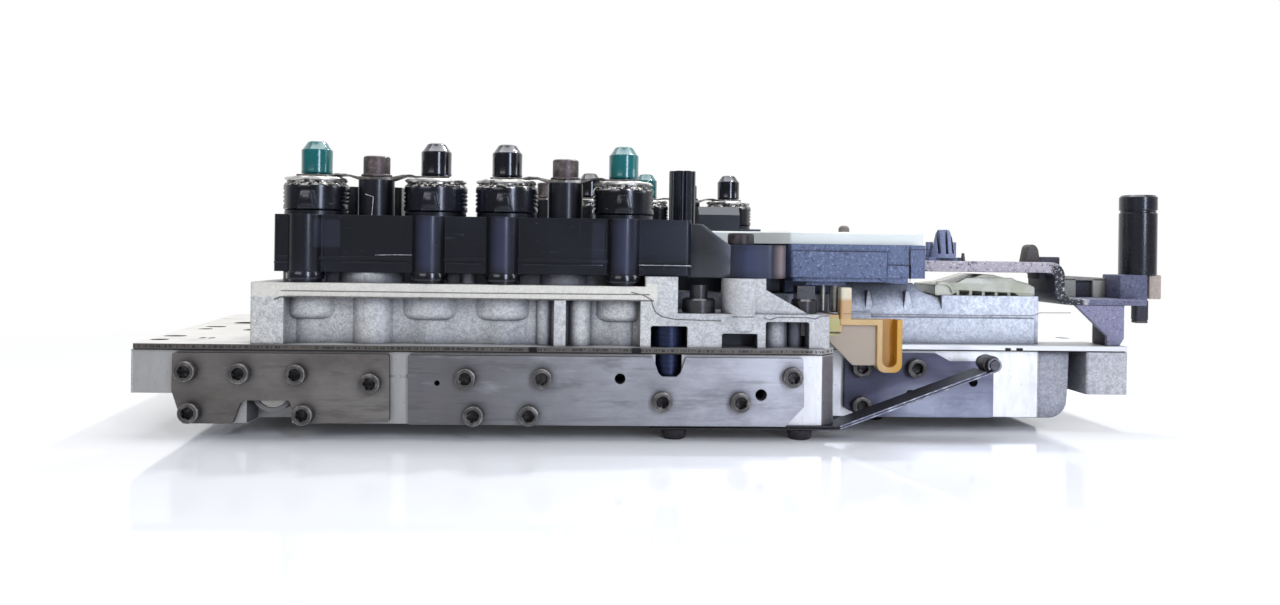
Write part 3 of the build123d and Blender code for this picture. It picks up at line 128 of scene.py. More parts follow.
class Finish:
    """A material in the making: its shader, the place on the piece and a rounded normal for its edges."""

    def __init__(self, name, edge=0.0, **sockets):
        self.material = bpy.data.materials.new(name)
        self.material.use_nodes = True
        self.tree = self.material.node_tree
        self.shader = self.tree.nodes["Principled BSDF"]
        self.place = Shade(self.tree).node("ShaderNodeTexCoord", output="Object")
        self.normal = None
        if edge:
            self.normal = self.place.node("ShaderNodeBevel", {"samples": 4}, {"Radius": edge})
        self.set(**sockets)

    def set(self, **sockets):
        for name, value in sockets.items():
            socket = self.shader.inputs[name.replace("_", " ")]
            if isinstance(value, Shade):
                self.tree.links.new(value.socket, socket)
            else:
                socket.default_value = value

    def bump(self, height, depth, strength=0.6):
        inputs = {"Height": height, "Distance": depth, "Strength": strength}
        if self.normal:
            inputs["Normal"] = self.normal
        self.normal = self.place.node("ShaderNodeBump", {}, inputs)
        self.set(Normal=self.normal)

    def noise(self, scale, detail=3.0, rough=0.6, stretch=None, turn=(0, 0, 0)):
        """Grain whose marks are about 1 / scale metres across, drawn out along an axis by stretch."""
        place = self.place
        if stretch:
            place = place.node("ShaderNodeMapping", {}, {"Vector": place, "Rotation": turn, "Scale": stretch})
        inputs = {"Vector": place, "Scale": scale, "Detail": detail, "Roughness": rough}
        return place.node("ShaderNodeTexNoise", {}, inputs)

    def spots(self, scale):
        """Distance to the nearest of many scattered points."""
        return self.place.node("ShaderNodeTexVoronoi", {}, {"Vector": self.place, "Scale": scale})

    def tint(self, mask, under, over):
        """One colour over another where the mask is 1."""
        settings = {"data_type": "RGBA", "clamp_factor": True}
        return self.place.node("ShaderNodeMix", settings, {0: mask, 6: under, 7: over}, output=2)

    def within(self, low, high, soft=0.15):
        """1 inside a box that is given by two corners in drawing millimetres, 0 outside it."""
        mask = None
        for axis in range(3):
            where = self.place.part(axis)
            near, far = spot(*low)[axis], spot(*high)[axis]
            edges = []
            if low[axis] > -ALL:
                edges.append(where.above(near - soft * MM, near + soft * MM))
            if high[axis] < ALL:
                edges.append(where.above(far + soft * MM, far - soft * MM))
            for edge in edges:
                mask = edge if mask is None else mask * edge
        return mask

    def over(self, skin, mask, tone, share=1.0):
        """The skin with a tone laid over it where the mask is 1."""
        return self.tint(mask, skin, paint(*tone, share))

    def stains_and_painted_light(self, skin, regions):
        """The skin with other tones inside boxes, for stains and for painted shade and highlights: two
        corners, a tone, its amount and its soft edge.
        """
        for low, high, tone, amount, soft in regions:
            skin = self.over(skin, self.within(low, high, soft) * amount, tone)
        return skin

    def shaded_and_grimed(self, skin, reach, low, high, amount, tone):
        """The skin darkened in its corners and deep recesses: painted shade there, with some oil and dirt."""
        settings = {"samples": 6, "only_local": False}
        shut = self.place.node("ShaderNodeAmbientOcclusion", settings, {"Distance": reach}, output=1)
        return self.over(skin, (1 - shut).above(low, high) * amount, tone)


def cast_aluminium(name, pale, grey, grain=1300.0, pits=0.55, regions=()):
    """Die-cast skin: fine light and dark grain, small pits, broad cool clouds, and painted shade with some
    dirt in its corners.
    """
    made = Finish(name, edge=0.0006, Metallic=0.25, Specular_IOR_Level=0.5)
    fine = made.noise(grain, 2.0, 0.75)
    patch = made.noise(70.0, 4.0)
    cloud = made.noise(16.0, 3.0, 0.5)
    under = [0.25 * light + 0.75 * dark for light, dark in zip(pale, grey)]
    skin = made.tint(fine.above(0.36, 0.64), paint(*under), paint(*pale))
    hammered = made.noise(grain * 0.42, 2.0)
    skin = made.over(skin, hammered.above(0.5, 0.66) * 0.4, grey, 0.8)
    skin = made.over(skin, hammered.above(0.42, 0.3) * 0.35, pale, 1.08)
    skin = made.over(skin, patch.above(0.4, 0.75) * 0.3, grey, 0.74)
    skin = made.over(skin, cloud.above(0.35, 0.65) * 0.3, (146, 155, 178))
    skin = made.over(skin, cloud.above(0.6, 0.8) * 0.3, (160, 148, 126))
    speck = made.spots(grain * 0.42).above(0.2, 0.06)
    skin = made.over(skin, speck * fine.above(0.42, 0.6) * pits, (62, 60, 58))
    skin = made.stains_and_painted_light(skin, regions)
    # Painted shade: a wide cool darkening under bosses and in recesses, then a narrow dark one in corners
    # with some dirt
    skin = made.shaded_and_grimed(skin, 0.012, 0.1, 0.62, 0.72, (74, 76, 90))
    skin = made.shaded_and_grimed(skin, 0.0035, 0.22, 0.75, 0.8, (40, 38, 38))
    made.set(Base_Color=skin, Roughness=0.38 + 0.25 * fine + 0.1 * patch)
    made.bump(fine + patch * 0.5, 0.0003, 0.7)
    return made.material


def milled_aluminium(name, tone):
    """Face left by a milling cutter: long fine streaks, a few stains and pinholes, painted shade towards its
    left end and in its corners.
    """
    made = Finish(name, edge=0.0003, Metallic=0.55)
    streak = made.noise(240.0, 3.0, 0.6, stretch=(1.6, 1.0, 0.5), turn=(0, radians(24), 0))
    stain = made.noise(38.0, 4.0)
    speck = made.spots(420.0).above(0.12, 0.03)
    painted_shade_left = made.place.part(0).above(spot(120, 0, 0).x, spot(-40, 0, 0).x)
    skin = made.tint(streak.above(0.3, 0.75), paint(*tone, 0.9), paint(*tone))
    skin = made.over(skin, painted_shade_left * 0.75, (134, 132, 130))
    skin = made.over(skin, stain.above(0.55, 0.8) * 0.4, (128, 122, 114))
    skin = made.over(skin, speck * 0.6, (58, 54, 50))
    skin = made.shaded_and_grimed(skin, 0.003, 0.5, 1.0, 0.7, (48, 46, 46))
    made.set(Base_Color=skin, Roughness=0.34 + 0.25 * streak)
    made.bump(streak, 0.00006, 0.4)
    return made.material


def joined(node):
    """A copy of a CAD piece's triangles, merged into walls and ready for bmesh work."""
    made = bmesh.new()
    made.from_mesh(nodes[node].data)
    bmesh.ops.remove_doubles(made, verts=made.verts, dist=1e-6)
    bmesh.ops.dissolve_limit(made, angle_limit=radians(0.5), verts=made.verts, edges=made.edges)
    return made


def soften(made, angle=34.0):
    """Smooth shading across shallow edges, a crisp line at the rest."""
    for face in made.faces:
        face.smooth = True
    for edge in made.edges:
        edge.smooth = len(edge.link_faces) == 2 and edge.calc_face_angle(pi) < radians(angle)


def standing(name, data):
    """A new object in the scene, made of the given mesh, curve, light or camera."""
    fresh = bpy.data.objects.new(name, data)
    bpy.context.scene.collection.objects.link(fresh)
    return fresh


def place_piece(made, name, finishes, stands_for=(), body="housing", crease=34.0):
    """Turns a bmesh into a piece with its finishes on; it rides on its body, where one is given."""
    soften(made, crease)
    mesh = bpy.data.meshes.new(name)
    made.to_mesh(mesh)
    made.free()
    for finish in finishes:
        mesh.materials.append(finish)
    piece = standing(name, mesh)
    if body:
        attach(piece, body)
    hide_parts(*stands_for)
    return piece


def dressed(node, finishes, body="housing", milled=None):
    """A CAD piece with joined walls and smooth curves; milled picks the faces of the second finish."""
    made = joined(node)
    if milled:
        for face in made.faces:
            face.material_index = int(milled(face))
    return place_piece(made, node + "_body", finishes, [node], body)


def poured(made, fresh):
    """Adds one bmesh to another."""
    mesh = bpy.data.meshes.new("poured")
    fresh.to_mesh(mesh)
    fresh.free()
    made.from_mesh(mesh)
    bpy.data.meshes.remove(mesh)


def bend(x, z, radius, first, last, steps=7):
    """Points on an arc in the front view, from one angle to another."""
    angles = [radians(first + (last - first) * k / steps) for k in range(steps + 1)]
    return [(x + radius * cos(angle), z + radius * sin(angle)) for angle in angles]


def oblong(left, right, low, high):
    """Corners of a rectangle in the front view."""
    return [(left, low), (right, low), (right, high), (left, high)]


def front_slab(made, outline, near, far, edge=0.3, finish=0):
    """A plate with the given outline in the front view and softened edges."""
    fresh = bmesh.new()
    face = fresh.faces.new([fresh.verts.new(spot(x, near, z)) for x, z in outline])
    grown = bmesh.ops.extrude_face_region(fresh, geom=[face])
    moved = [item for item in grown["geom"] if isinstance(item, bmesh.types.BMVert)]
    bmesh.ops.translate(fresh, verts=moved, vec=(0, (far - near) * MM, 0))
    open_edges = [item for item in fresh.edges if item.is_boundary]
    if open_edges:
        bmesh.ops.holes_fill(fresh, edges=open_edges, sides=0)
    bmesh.ops.recalc_face_normals(fresh, faces=fresh.faces)
    sharp = [item for item in fresh.edges if item.calc_face_angle(0) > radians(40)]
    bmesh.ops.bevel(fresh, geom=sharp, offset=edge * MM, segments=2, affect="EDGES", profile=0.5, material=-1)
    for face in fresh.faces:
        face.material_index = finish
    poured(made, fresh)


def slabs_piece(name, finishes, slabs):
    """One piece made of plates: an outline, its front and back, the ease of its edges, and its finish."""
    made = bmesh.new()
    for slab in slabs:
        front_slab(made, *slab)
    place_piece(made, name, finishes)


rough_casting = cast_aluminium("rough_casting", (205, 204, 204), (146, 146, 152), regions=(
    # Painted shade: darker low on the casting in the left cover's notch, and on the side face where the
    # casting steps back
    ((-147, -2, 3), (-125, 60, 14.4), (104, 101, 97), 0.85, 0.3),
    ((69.6, -2, 3), (75.5, 30, 32), (78, 70, 74), 0.8, 0.4),
))
milled_front = milled_aluminium("milled_front", (246, 247, 250))
shaded_flank_casting = cast_aluminium("shaded_flank_casting", (184, 184, 190), (120, 121, 128), pits=0.7)


milled_end, milled_least = 172, 60    # where the milled faces end, and the least area of one


def on_lower_front(face):
    """The milled faces of the lower casting that look to the front."""
    flat = face.normal.y < -0.99 and face.calc_area() > milled_least * MM * MM
    return flat and face.calc_center_median().x < spot(milled_end, 0, 0).x


dressed("lower_housing", [rough_casting, milled_front], milled=on_lower_front)
# Its rough flank beside the milled block, down to its foot, with a darker copy of the cast skin as painted
# shade where it turns back
flank_left, flank_foot, flank_top = 158.0, 5.0, 33.0
slabs_piece("casting_flank", [shaded_flank_casting], [
    ([(flank_left, flank_foot), (169.5, flank_foot)] + bend(170.2, 12.4, 7.4, -84, -6)
     + [(178.1, 20.0), (178.4, flank_top), (flank_left, flank_top)], 25.4, 62.0, 0.8),
])

# Separator plate and its gasket. A punched steel sheet with oil slots, clamped between the two castings on a
# thin fibre gasket; oil has stained its edge and it carries fine handling scratches.


def sheet_steel(name, left_tone, right_tone, stain_tone, shine=0.32, haze=0.5, ends=(-170, 60), painted_sheen=None,
                brush=0.35):
    """Rolled sheet, painted darker at its left end and paler at its right as light falls on it, with streaks,
    hazy stains, scratches, oil and painted shade round the screws, and a pale painted reflection inside a box
    where one is given.
    """
    made = Finish(name, edge=0.0003, Metallic=0.7)
    streak = made.noise(420.0, 3.0, 0.6, stretch=(0.12, 1.0, 1.6))
    haze_mark = made.noise(26.0, 5.0, 0.66, stretch=(1.0, 1.0, 1.8))
    scratch = made.noise(700.0, 3.0, 0.55, stretch=(0.05, 1.0, 0.6)).above(0.6, 0.68)
    # Painted light: a darker tone at the left end runs to a paler one at the right
    along = made.place.part(0).above(spot(ends[0], 0, 0).x, spot(ends[1], 0, 0).x)
    skin = made.tint(along, paint(*left_tone), paint(*right_tone))
    skin = made.over(skin, streak.above(0.3, 0.7) * brush, stain_tone)
    skin = made.over(skin, haze_mark.above(0.42, 0.66) * haze, stain_tone)
    wipe = made.noise(90.0, 4.0, 0.65, stretch=(0.35, 1.0, 1.6), turn=(0, radians(20), 0))
    skin = made.over(skin, wipe.above(0.56, 0.7) * 0.4, stain_tone, 0.8)
    skin = made.over(skin, wipe.above(0.4, 0.25) * 0.18, right_tone, 1.2)
    # A pale painted reflection inside a box
    if painted_sheen:
        low, high, tone = painted_sheen
        pale = made.within(low, high, soft=7.0) * haze_mark.above(0.36, 0.6)
        skin = made.over(skin, pale * 0.85, tone)
    skin = made.shaded_and_grimed(skin, 0.0085, 0.12, 0.75, 0.75, (38, 36, 40))
    skin = made.over(skin, scratch * 0.22, stain_tone, 0.6)
    made.set(Base_Color=skin, Roughness=shine + 0.2 * haze_mark + 0.1 * streak)
    made.bump(streak + scratch * 0.5, 0.00004, 0.35)
    return made.material


plate_low, plate_high = 33.3, 34.3    # the dotted line of oil along the plate's edge
plate_sheet = sheet_steel("plate_sheet", (228, 227, 224), (236, 237, 238), (198, 196, 192), haze=0.3)
made = Finish("plate_rim", edge=0.0003, Metallic=0.5, Roughness=0.42)
stripe = made.noise(520.0, 2.0, 0.6, stretch=(2.6, 1.0, 0.5))
along = made.place.part(0).above(spot(64, 0, 0).x, spot(80, 0, 0).x)
skin = made.tint(along, paint(92, 88, 84), paint(222, 223, 226))
dots = stripe.above(0.46, 0.56) * made.within((-ALL, -ALL, plate_low), (76, ALL, plate_high)) * 0.85
skin = made.over(skin, dots, (34, 33, 36))
# The slots are not cut: they are painted near black, as the shade inside them
slot_shade = made.within((-41, -9, 30), (-38, 9, 35)) + made.within((-2.5, -9, 30), (1, 9, 35))
slot_shade = slot_shade + made.within((150.0, 9, 30), (152.4, 60, 33.9))
slot_shade = slot_shade + made.within((154.6, 9, 30), (157.4, 60, 33.9))
made.set(Base_Color=made.tint(slot_shade, skin, paint(14, 13, 14)))
made.bump(stripe, 0.0001, 0.5)
plate_rim = made.material
made = Finish("gasket_fibre", Roughness=0.85)
weave = made.noise(1800.0, 3.0, 0.7)
made.set(Base_Color=made.tint(weave, paint(20, 18, 17), paint(54, 50, 46)))
made.bump(weave, 0.0001)
gasket_fibre = made.material
dressed("separator_plate", [plate_sheet, plate_rim],
        milled=lambda face: abs(face.normal.z) < 0.5)
dressed("separator_gasket", [gasket_fibre])

# Upper casting. Aluminium, cast with the stepped bosses of the solenoid bores in its recessed front wall, a
# lug boss with its gusset, three windows and the block behind the selector; paler than the lower one.
# Thin flash lines run where the halves of its mould met, and one dark line under its rim is a painted shadow.
pale_casting = cast_aluminium("pale_casting", (220, 219, 214), (162, 162, 162), pits=0.7, regions=(
    ((-ALL, -ALL, 52.4), (7.0, 4.0, 59.0), (222, 218, 206), 0.6, 0.3),
    # Painted shade: near black and dark grey inside two windows, dark blue in the opening left of the lug
    # boss, and dark behind the lug and under the unit
    ((31.0, 3.6, 34.0), (45.8, 30, 41.2), (16, 16, 20), 0.95, 0.3),
    ((57.0, 3.6, 34.0), (66.0, 30, 45.6), (70, 72, 80), 0.8, 0.8),
    ((12.0, 13.0, 47.0), (31.5, 60, 62.0), (52, 58, 80), 0.75, 0.8),
    ((48.0, 19.0, 47.0), (76.0, 60, 62.0), (24, 25, 34), 0.85, 0.8),
))
blue_casting = cast_aluminium("blue_casting", (238, 243, 252), (176, 184, 200), grain=1000.0, pits=0.5)


def right_of_bay(face):
    """The part behind the selector, which the light leaves cooler."""
    return face.calc_center_median().x > spot(74, 0, 0).x


dressed("upper_housing", [pale_casting, blue_casting], milled=right_of_bay)


def flash_line(name, points, thick, finish):
    """A thin raised line that follows points in drawing millimetres: seams and scratches, and also painted
    shadow, shade and highlight lines.
    """
    curve = bpy.data.curves.new(name, "CURVE")
    curve.dimensions = "3D"
    run = curve.splines.new("POLY")
    run.points.add(len(points) - 1)
    for k, point in enumerate(points):
        run.points[k].co = (*spot(*point), 1)
    curve.bevel_depth = thick / 2 * MM
    curve.bevel_resolution = 1
    curve.use_fill_caps = True
    curve.materials.append(finish)
    seam = standing(name, curve)
    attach(seam, "housing")


def grained(name, shine, scale, low, high, dark, pale):
    """The finish of a thin mark: one fine grain between two tones."""
    made = Finish(name, Roughness=shine)
    grain = made.noise(scale)
    made.set(Base_Color=made.tint(grain.above(low, high), paint(*dark), paint(*pale)))
    made.bump(grain, 0.0001, 0.5)
    return made.material


seam_dark = grained("seam_shadow", 0.7, 900.0, 0.3, 0.7, (74, 72, 72), (128, 126, 122))
wall, shade_wall = 1.95, 2.0          # front faces of the upper casting, under the seams
boss_x, boss_y, boss_reach, boss_foot = 39.6, 8.6, 7.72, 46.8
around = [radians(angle) for angle in range(200, 341, 10)]
seams = {
    "bay_seam": (0.35, [(-3.0, wall, 55.6), (1.5, wall, 54.6), (4.6, wall, 53.0), (5.4, wall, 50.2),
                        (6.2, wall, 48.4), (8.6, wall, 46.6), (13.5, wall, 45.6), (24.0, wall, 45.3),
                        (31.2, wall, 45.2)]),
    "boss_seam": (0.3, [(boss_x + boss_reach * cos(angle), boss_y + boss_reach * sin(angle), boss_foot)
                        for angle in around]),
    "shelf_seam": (0.3, [(47.5, wall, 46.6), (49.6, wall, 45.7), (52.6, wall, 46.8), (65.0, wall, 46.7),
                         (67.0, wall, 46.2), (69.5, wall, 47.4), (72.4, wall, 47.5)]),
    "rim_crease": (0.3, [(-133.0, wall, 54.7), (-60.0, wall, 54.6), (4.0, wall, 54.8)]),
    "rim_shadow": (0.55, [(-135.4, wall, 51.4), (-133.2, wall, 52.3), (-130.0, wall, 52.55),
                          (-60.0, shade_wall, 52.5), (5.5, shade_wall, 52.5)]),
    "block_seam": (0.3, [(78.0, wall, 48.4), (130.0, wall, 48.4), (152.0, wall, 48.5), (154.2, wall, 49.6),
                         (166.4, wall, 49.7)]),
}
for name, (thick, points) in seams.items():
    flash_line(name, points, thick, seam_dark)

# Covers. Stamped steel plates over the valve bores, held by small cap screws; the right one is blued. Oil has
# left hazy marks on them. Painted shade with some oil darkens a ring round each screw; each is painted paler
# to its right.
stained_steel = sheet_steel("stained_steel", (112, 108, 105), (128, 125, 122), (82, 77, 75), shine=0.38,
                            haze=0.7, ends=(-170, -95), brush=0.1)
worn_steel = sheet_steel("worn_steel", (112, 111, 113), (188, 190, 200), (92, 91, 96), shine=0.34, haze=0.5,
                         ends=(-70, 55), brush=0.15)
# The blued cover also carries a pale painted reflection low on its face
blued_steel = sheet_steel("blued_steel", (62, 64, 82), (106, 106, 128), (46, 47, 62), shine=0.3, haze=0.6,
                          ends=(80, 150), brush=0.1, painted_sheen=((104, -ALL, 5), (150, ALL, 15), (182, 188, 206)))
dressed("front_cover_left", [stained_steel])
dressed("front_cover_middle", [worn_steel])
dressed("front_cover_right", [blued_steel])
dressed("rear_cover", [stained_steel])

# Screws. Black-oxide steel with star or hexagon recesses: small ones in the covers, wide ones below that the
# unit stands on, tall ones down the pillars and through the lug.


def islands(node):
    """Lowest corner, highest corner and middle of every separate solid of a CAD piece."""
    made = joined(node)
    made.verts.index_update()
    seen, boxes = set(), []
    for start in made.verts:
        if start in seen:
            continue
        seen.add(start)
        heap, group = [start], []
        while heap:
            corner = heap.pop()
            group.append(corner.co.copy())
            for edge in corner.link_edges:
                other = edge.other_vert(corner)
                if other not in seen:
                    seen.add(other)
                    heap.append(other)
        low = Vector([min(co[k] for co in group) for k in range(3)])
        high = Vector([max(co[k] for co in group) for k in range(3)])
        boxes.append((low, high, (low + high) / 2))
    made.free()
    return boxes


def lathe(made, profile, steps=48, centre=(0, 0, 0), turn=None, shape=None, mark=None):
    """Spins a profile of radius and height; shape bends its round, mark picks each face's finish."""
    fresh = bmesh.new()
    corners = [fresh.verts.new((radius * MM, 0, height * MM)) for radius, height in profile]
    runs = [fresh.edges.new(pair) for pair in zip(corners, corners[1:])]
    bmesh.ops.spin(fresh, geom=corners + runs, cent=(0, 0, 0), axis=(0, 0, 1), angle=2 * pi, steps=steps,
                   use_merge=True)
    bmesh.ops.remove_doubles(fresh, verts=fresh.verts, dist=1e-7)
    bmesh.ops.recalc_face_normals(fresh, faces=fresh.faces)
    if mark:
        for face in fresh.faces:
            middle = face.calc_center_median()
            face.material_index = mark(hypot(middle.x, middle.y) / MM, middle.z / MM)
    if shape:
        for corner in fresh.verts:
            x, y, z = corner.co
            scale = shape(hypot(x, y) / MM, z / MM, atan2(y, x))
            corner.co.x *= scale
            corner.co.y *= scale
    if turn:
        bmesh.ops.rotate(fresh, verts=fresh.verts, cent=(0, 0, 0), matrix=turn)
    bmesh.ops.translate(fresh, verts=fresh.verts, vec=centre)
    poured(made, fresh)


def keyed(radius, lobes):
    """Outline of a key recess: a six-lobed star or a hexagon, for the points on one radius."""
    def shape(at, height, angle):
        if abs(at - radius) > 0.01:
            return 1.0
        if lobes == "star":
            return 1.0 + 0.13 * cos(6 * angle)
        return cos(pi / 6) / cos((angle % (pi / 3)) - pi / 6)
    return shape


def cap_screw(made, head, high, shank, depth, seat, turn, lobes="star", wall=0.12, washer=0.0, taper=0.0):
    """A screw whose head stands on its seat, with a softened rim, a key recess and perhaps a flange."""
    key = head * 0.52
    rim = high * wall
    profile = [(0, -depth), (shank * 0.8, -depth), (shank, -depth + shank * 0.3), (shank, 0)]
    if washer:
        flange = head + washer
        profile += [(flange - 0.15, 0), (flange, 0.15), (flange, 0.7), (flange - 0.25, 0.95), (head, 1.05)]
    else:
        profile += [(head - 0.1, 0), (head, 0.1)]
    crown = head - taper
    profile += [
        (crown, high - rim), (crown - rim * 0.4, high - rim * 0.3), (crown - rim, high),
        (key + 0.35, high), (key, high - 0.3), (key, high * 0.42), (key * 0.5, high * 0.36), (0, high * 0.34),
    ]

    def part_of_head(at, height):
        """2 in the key recess, painted dark as shade; 1 on the rims, worn and painted paler as a highlight; 0
        elsewhere.
        """
        if at < key + 0.3:
            return 2
        return int(height > high - rim * 0.85 and at > crown - rim * 1.1)

    lathe(made, profile, 48, seat, turn, keyed(key, lobes), part_of_head)


def black_oxide(name, tone, worn_tone, shine=0.3, steel=0.75):
    """Blackened steel, rubbed bright in places and wet with oil, with painted shade in its recesses."""
    made = Finish(name, edge=0.00025, Metallic=steel)
    rub = made.noise(300.0, 4.0, 0.65)
    grain = made.noise(1400.0, 2.0)
    skin = made.tint(rub.above(0.48, 0.7) * 0.6, paint(*tone), paint(*worn_tone))
    skin = made.shaded_and_grimed(skin, 0.0025, 0.35, 1.0, 0.8, (10, 9, 10))
    made.set(Base_Color=skin, Roughness=shine + 0.2 * rub + 0.08 * grain)
    made.bump(grain, 0.00005, 0.4)
    return made.material


dark_screw = black_oxide("dark_screw", (78, 76, 76), (140, 138, 136))
foot_screw = black_oxide("foot_screw", (40, 37, 41), (84, 76, 82), steel=0.4)
brown_screw = black_oxide("brown_screw", (80, 72, 73), (150, 138, 138), shine=0.34)
# Rims worn and painted paler as a highlight, and a near-black tone as painted shade in key recesses and slits
rim_wear_and_highlight = black_oxide("rim_wear_and_highlight", (108, 105, 103), (184, 180, 176), shine=0.22)
recess_shade_black = black_oxide("recess_shade_black", (14, 13, 14), (92, 90, 90), shine=0.2, steel=0.6)
face_front = Matrix.Rotation(radians(90), 3, "X")
face_back = Matrix.Rotation(radians(-90), 3, "X")
face_down = Matrix.Rotation(radians(180), 3, "X")
cover_head, base_head, pillar_head, lug_head, carrier_head = 3.4, 3.9, 8.0, 4.6, 5.1
pillar_level = 0.09                   # metres; the pillars' screws end above it, the lug's below
made = bmesh.new()
for k, (low, high, middle) in enumerate(islands("cover_screws")):
    head = (high.x - low.x) / 2 / MM
    spin = Matrix.Rotation(k * 0.7, 3, "Z")
    in_front = middle.y < 0
    seat_y = low.y + cover_head * MM if in_front else high.y - cover_head * MM
    turned = face_front if in_front else face_back
    cap_screw(made, head, cover_head, 2.1, 9.2, (middle.x, seat_y, middle.z), turned @ spin)
place_piece(made, "cover_cap_screws", [dark_screw, rim_wear_and_highlight, recess_shade_black], ["cover_screws"])
made = bmesh.new()
for low, high, middle in islands("base_screws"):
    seat = (middle.x, middle.y, low.z + base_head * MM)
    cap_screw(made, (high.x - low.x) / 2 / MM, base_head, 2.6, 7.9, seat, face_down, "hexagon", taper=0.7)
place_piece(made, "standing_screws", [foot_screw, foot_screw, recess_shade_black], ["base_screws"])
tall, short = bmesh.new(), bmesh.new()
for low, high, middle in islands("carrier_screws"):
    on_pillar = high.z > pillar_level
    top = pillar_head if on_pillar else lug_head
    seat = (middle.x, middle.y, high.z - top * MM)
    depth = (high.z - low.z) / MM - top
    if on_pillar:
        cap_screw(tall, carrier_head, top, 2.9, depth, seat, None, "hexagon", 0.07, washer=0.8)
    else:
        cap_screw(short, carrier_head, top, 2.9, depth, seat, None, "hexagon", 0.16)
place_piece(tall, "pillar_screws", [brown_screw, rim_wear_and_highlight, recess_shade_black], ["carrier_screws"])
place_piece(short, "lug_screw", [foot_screw, foot_screw, recess_shade_black])

# Flanged bolts, locating sleeve and pins. Bright turned steel: the bolts hold the castings together beside
# the selector, the hollow sleeve lines them up and the two pins hang down from the electronic unit.


def bright_steel(name, tone, shine=0.2):
    """Turned or ground steel: rings of tool marks, thin oil film, and painted shade in its corners."""
    made = Finish(name, edge=0.0002, Metallic=0.9)
    ring = made.noise(700.0, 2.0, 0.6, stretch=(0.15, 0.15, 3.0))
    film = made.noise(60.0)
    skin = made.tint(ring.above(0.3, 0.7), paint(*tone, 0.8), paint(*tone))
    skin = made.shaded_and_grimed(skin, 0.004, 0.4, 1.0, 0.7, (20, 19, 20))
    made.set(Base_Color=skin, Roughness=shine + 0.18 * film)
    made.bump(ring, 0.00003, 0.35)
    return made.material


turned_steel = bright_steel("turned_steel", (186, 184, 180))
bolt_steel = bright_steel("bolt_steel", (92, 92, 96), 0.16)
sleeve_steel = bright_steel("sleeve_steel", (48, 56, 84), 0.2)
dressed("flange_bolts", [bolt_steel])
dressed("locating_sleeve", [sleeve_steel])
dressed("locating_pins", [turned_steel])

# Oil guide. Cream translucent plastic, moulded with ribs and laid on the block behind the selector. A wall
# and a tray close its front, with a scooped spout at the left.
made = Finish("clear_guide", edge=0.0004, Roughness=0.24, IOR=1.5, Transmission_Weight=0.55)
wave = made.noise(140.0, 3.0, 0.5)
film = made.noise(420.0)
skin = made.tint(wave.above(0.35, 0.7), paint(216, 218, 202), paint(238, 239, 230))
made.set(Base_Color=made.tint(film.above(0.55, 0.7) * 0.3, skin, paint(176, 176, 150)))
made.bump(wave + film * 0.3, 0.0003, 0.4)
clear_guide = made.material
dressed("oil_guide", [clear_guide])
slabs_piece("guide_tray", [clear_guide], [
    ([(129.4, 58.6), (133.0, 59.8), (137.0, 62.0), (156.0, 62.2), (159.0, 60.6), (165.4, 58.6), (165.6, 55.6),
      (131.0, 56.9)], 30.2, 30.9, 0.25),
    ([(124.4, 60.2), (128.6, 60.2), (131.4, 58.2), (132.0, 55.6), (130.8, 55.6), (130.0, 57.6), (128.0, 59.0),
      (124.4, 59.2)], 29.6, 31.4, 0.2),
])

# Solenoid carrier. Black glass-filled plastic, moulded in one with its pillars, columns and towers, screwed
# down on the upper casting over a few millimetres of air. It is scuffed, dust lies in its corners, and
# painted highlights and reflections lie on its edges, columns and lug.


def moulded_black(name, tone, shine, painted_sheen=(44, 46, 66), gloss=0.1, specks=0.3, regions=()):
    """Injection-moulded plastic: fine grain, smoky patches, a cool bloom that also paints a bluish sheen, and
    dust.
    """
    made = Finish(name, edge=0.0005, Coat_Roughness=0.12, Specular_IOR_Level=0.45,
                  Specular_Tint=(0.78, 0.84, 1, 1))
    grain = made.noise(1700.0, 2.0)
    bloom = made.noise(34.0, 4.0)
    dust = made.noise(520.0, 3.0, 0.7).above(0.68, 0.74)
    scuff = made.noise(240.0, 4.0, 0.6, stretch=(0.3, 1.0, 2.4)).above(0.66, 0.72)
    skin = made.tint(bloom.above(0.45, 0.75) * 0.4, paint(*tone), paint(*painted_sheen))
    skin = made.over(skin, dust * specks, (118, 120, 132))
    skin = made.over(skin, scuff * specks * 0.6, (104, 106, 118))
    skin = made.stains_and_painted_light(skin, regions)
    made.set(Base_Color=skin, Roughness=shine + 0.08 * bloom + 0.06 * grain, Coat_Weight=gloss + 0.2 * bloom)
    made.bump(grain + bloom * 0.5, 0.00006, 0.45)
    return made.material


# Painted highlights: cool streaks down three of the front columns
column_highlights = [((left, -ALL, 62.6), (right, 7.0, 83.4), (58, 62, 88), 0.6, 2.8)
                  for left, right in ((-82.2, -77.2), (-54.5, -49.5), (-8.6, -3.4))]
carrier_black = moulded_black("carrier_black", (11, 11, 14), 0.24, painted_sheen=(30, 31, 46), regions=(
    *column_highlights,
    ((-121.7, -ALL, 71.2), (-112.7, 7.0, 81.5), (44, 47, 60), 0.6, 0.4),
    ((-18.0, -ALL, 66.0), (-12.6, 7.0, 82.0), (36, 38, 50), 0.8, 0.4),
    ((-4.0, -ALL, 69.0), (20.6, 6.4, 82.0), (24, 30, 44), 0.8, 2.0),
    # Painted reflection on the web and lug: grey on the web, blue across the lug, a pale pink highlight near
    # its right end
    ((21.0, -ALL, 61.0), (37.0, 22, 82.0), (44, 44, 44), 0.8, 1.5),
    ((36.5, -ALL, 61.0), (49.5, 22, 75.0), (50, 56, 82), 0.85, 4.0),
    ((52.6, -ALL, 61.8), (56.4, 12, 74.2), (168, 152, 154), 0.5, 1.8),
))
post_gloss = moulded_black("post_gloss", (8, 8, 12), 0.14, painted_sheen=(26, 28, 44), gloss=0.4)
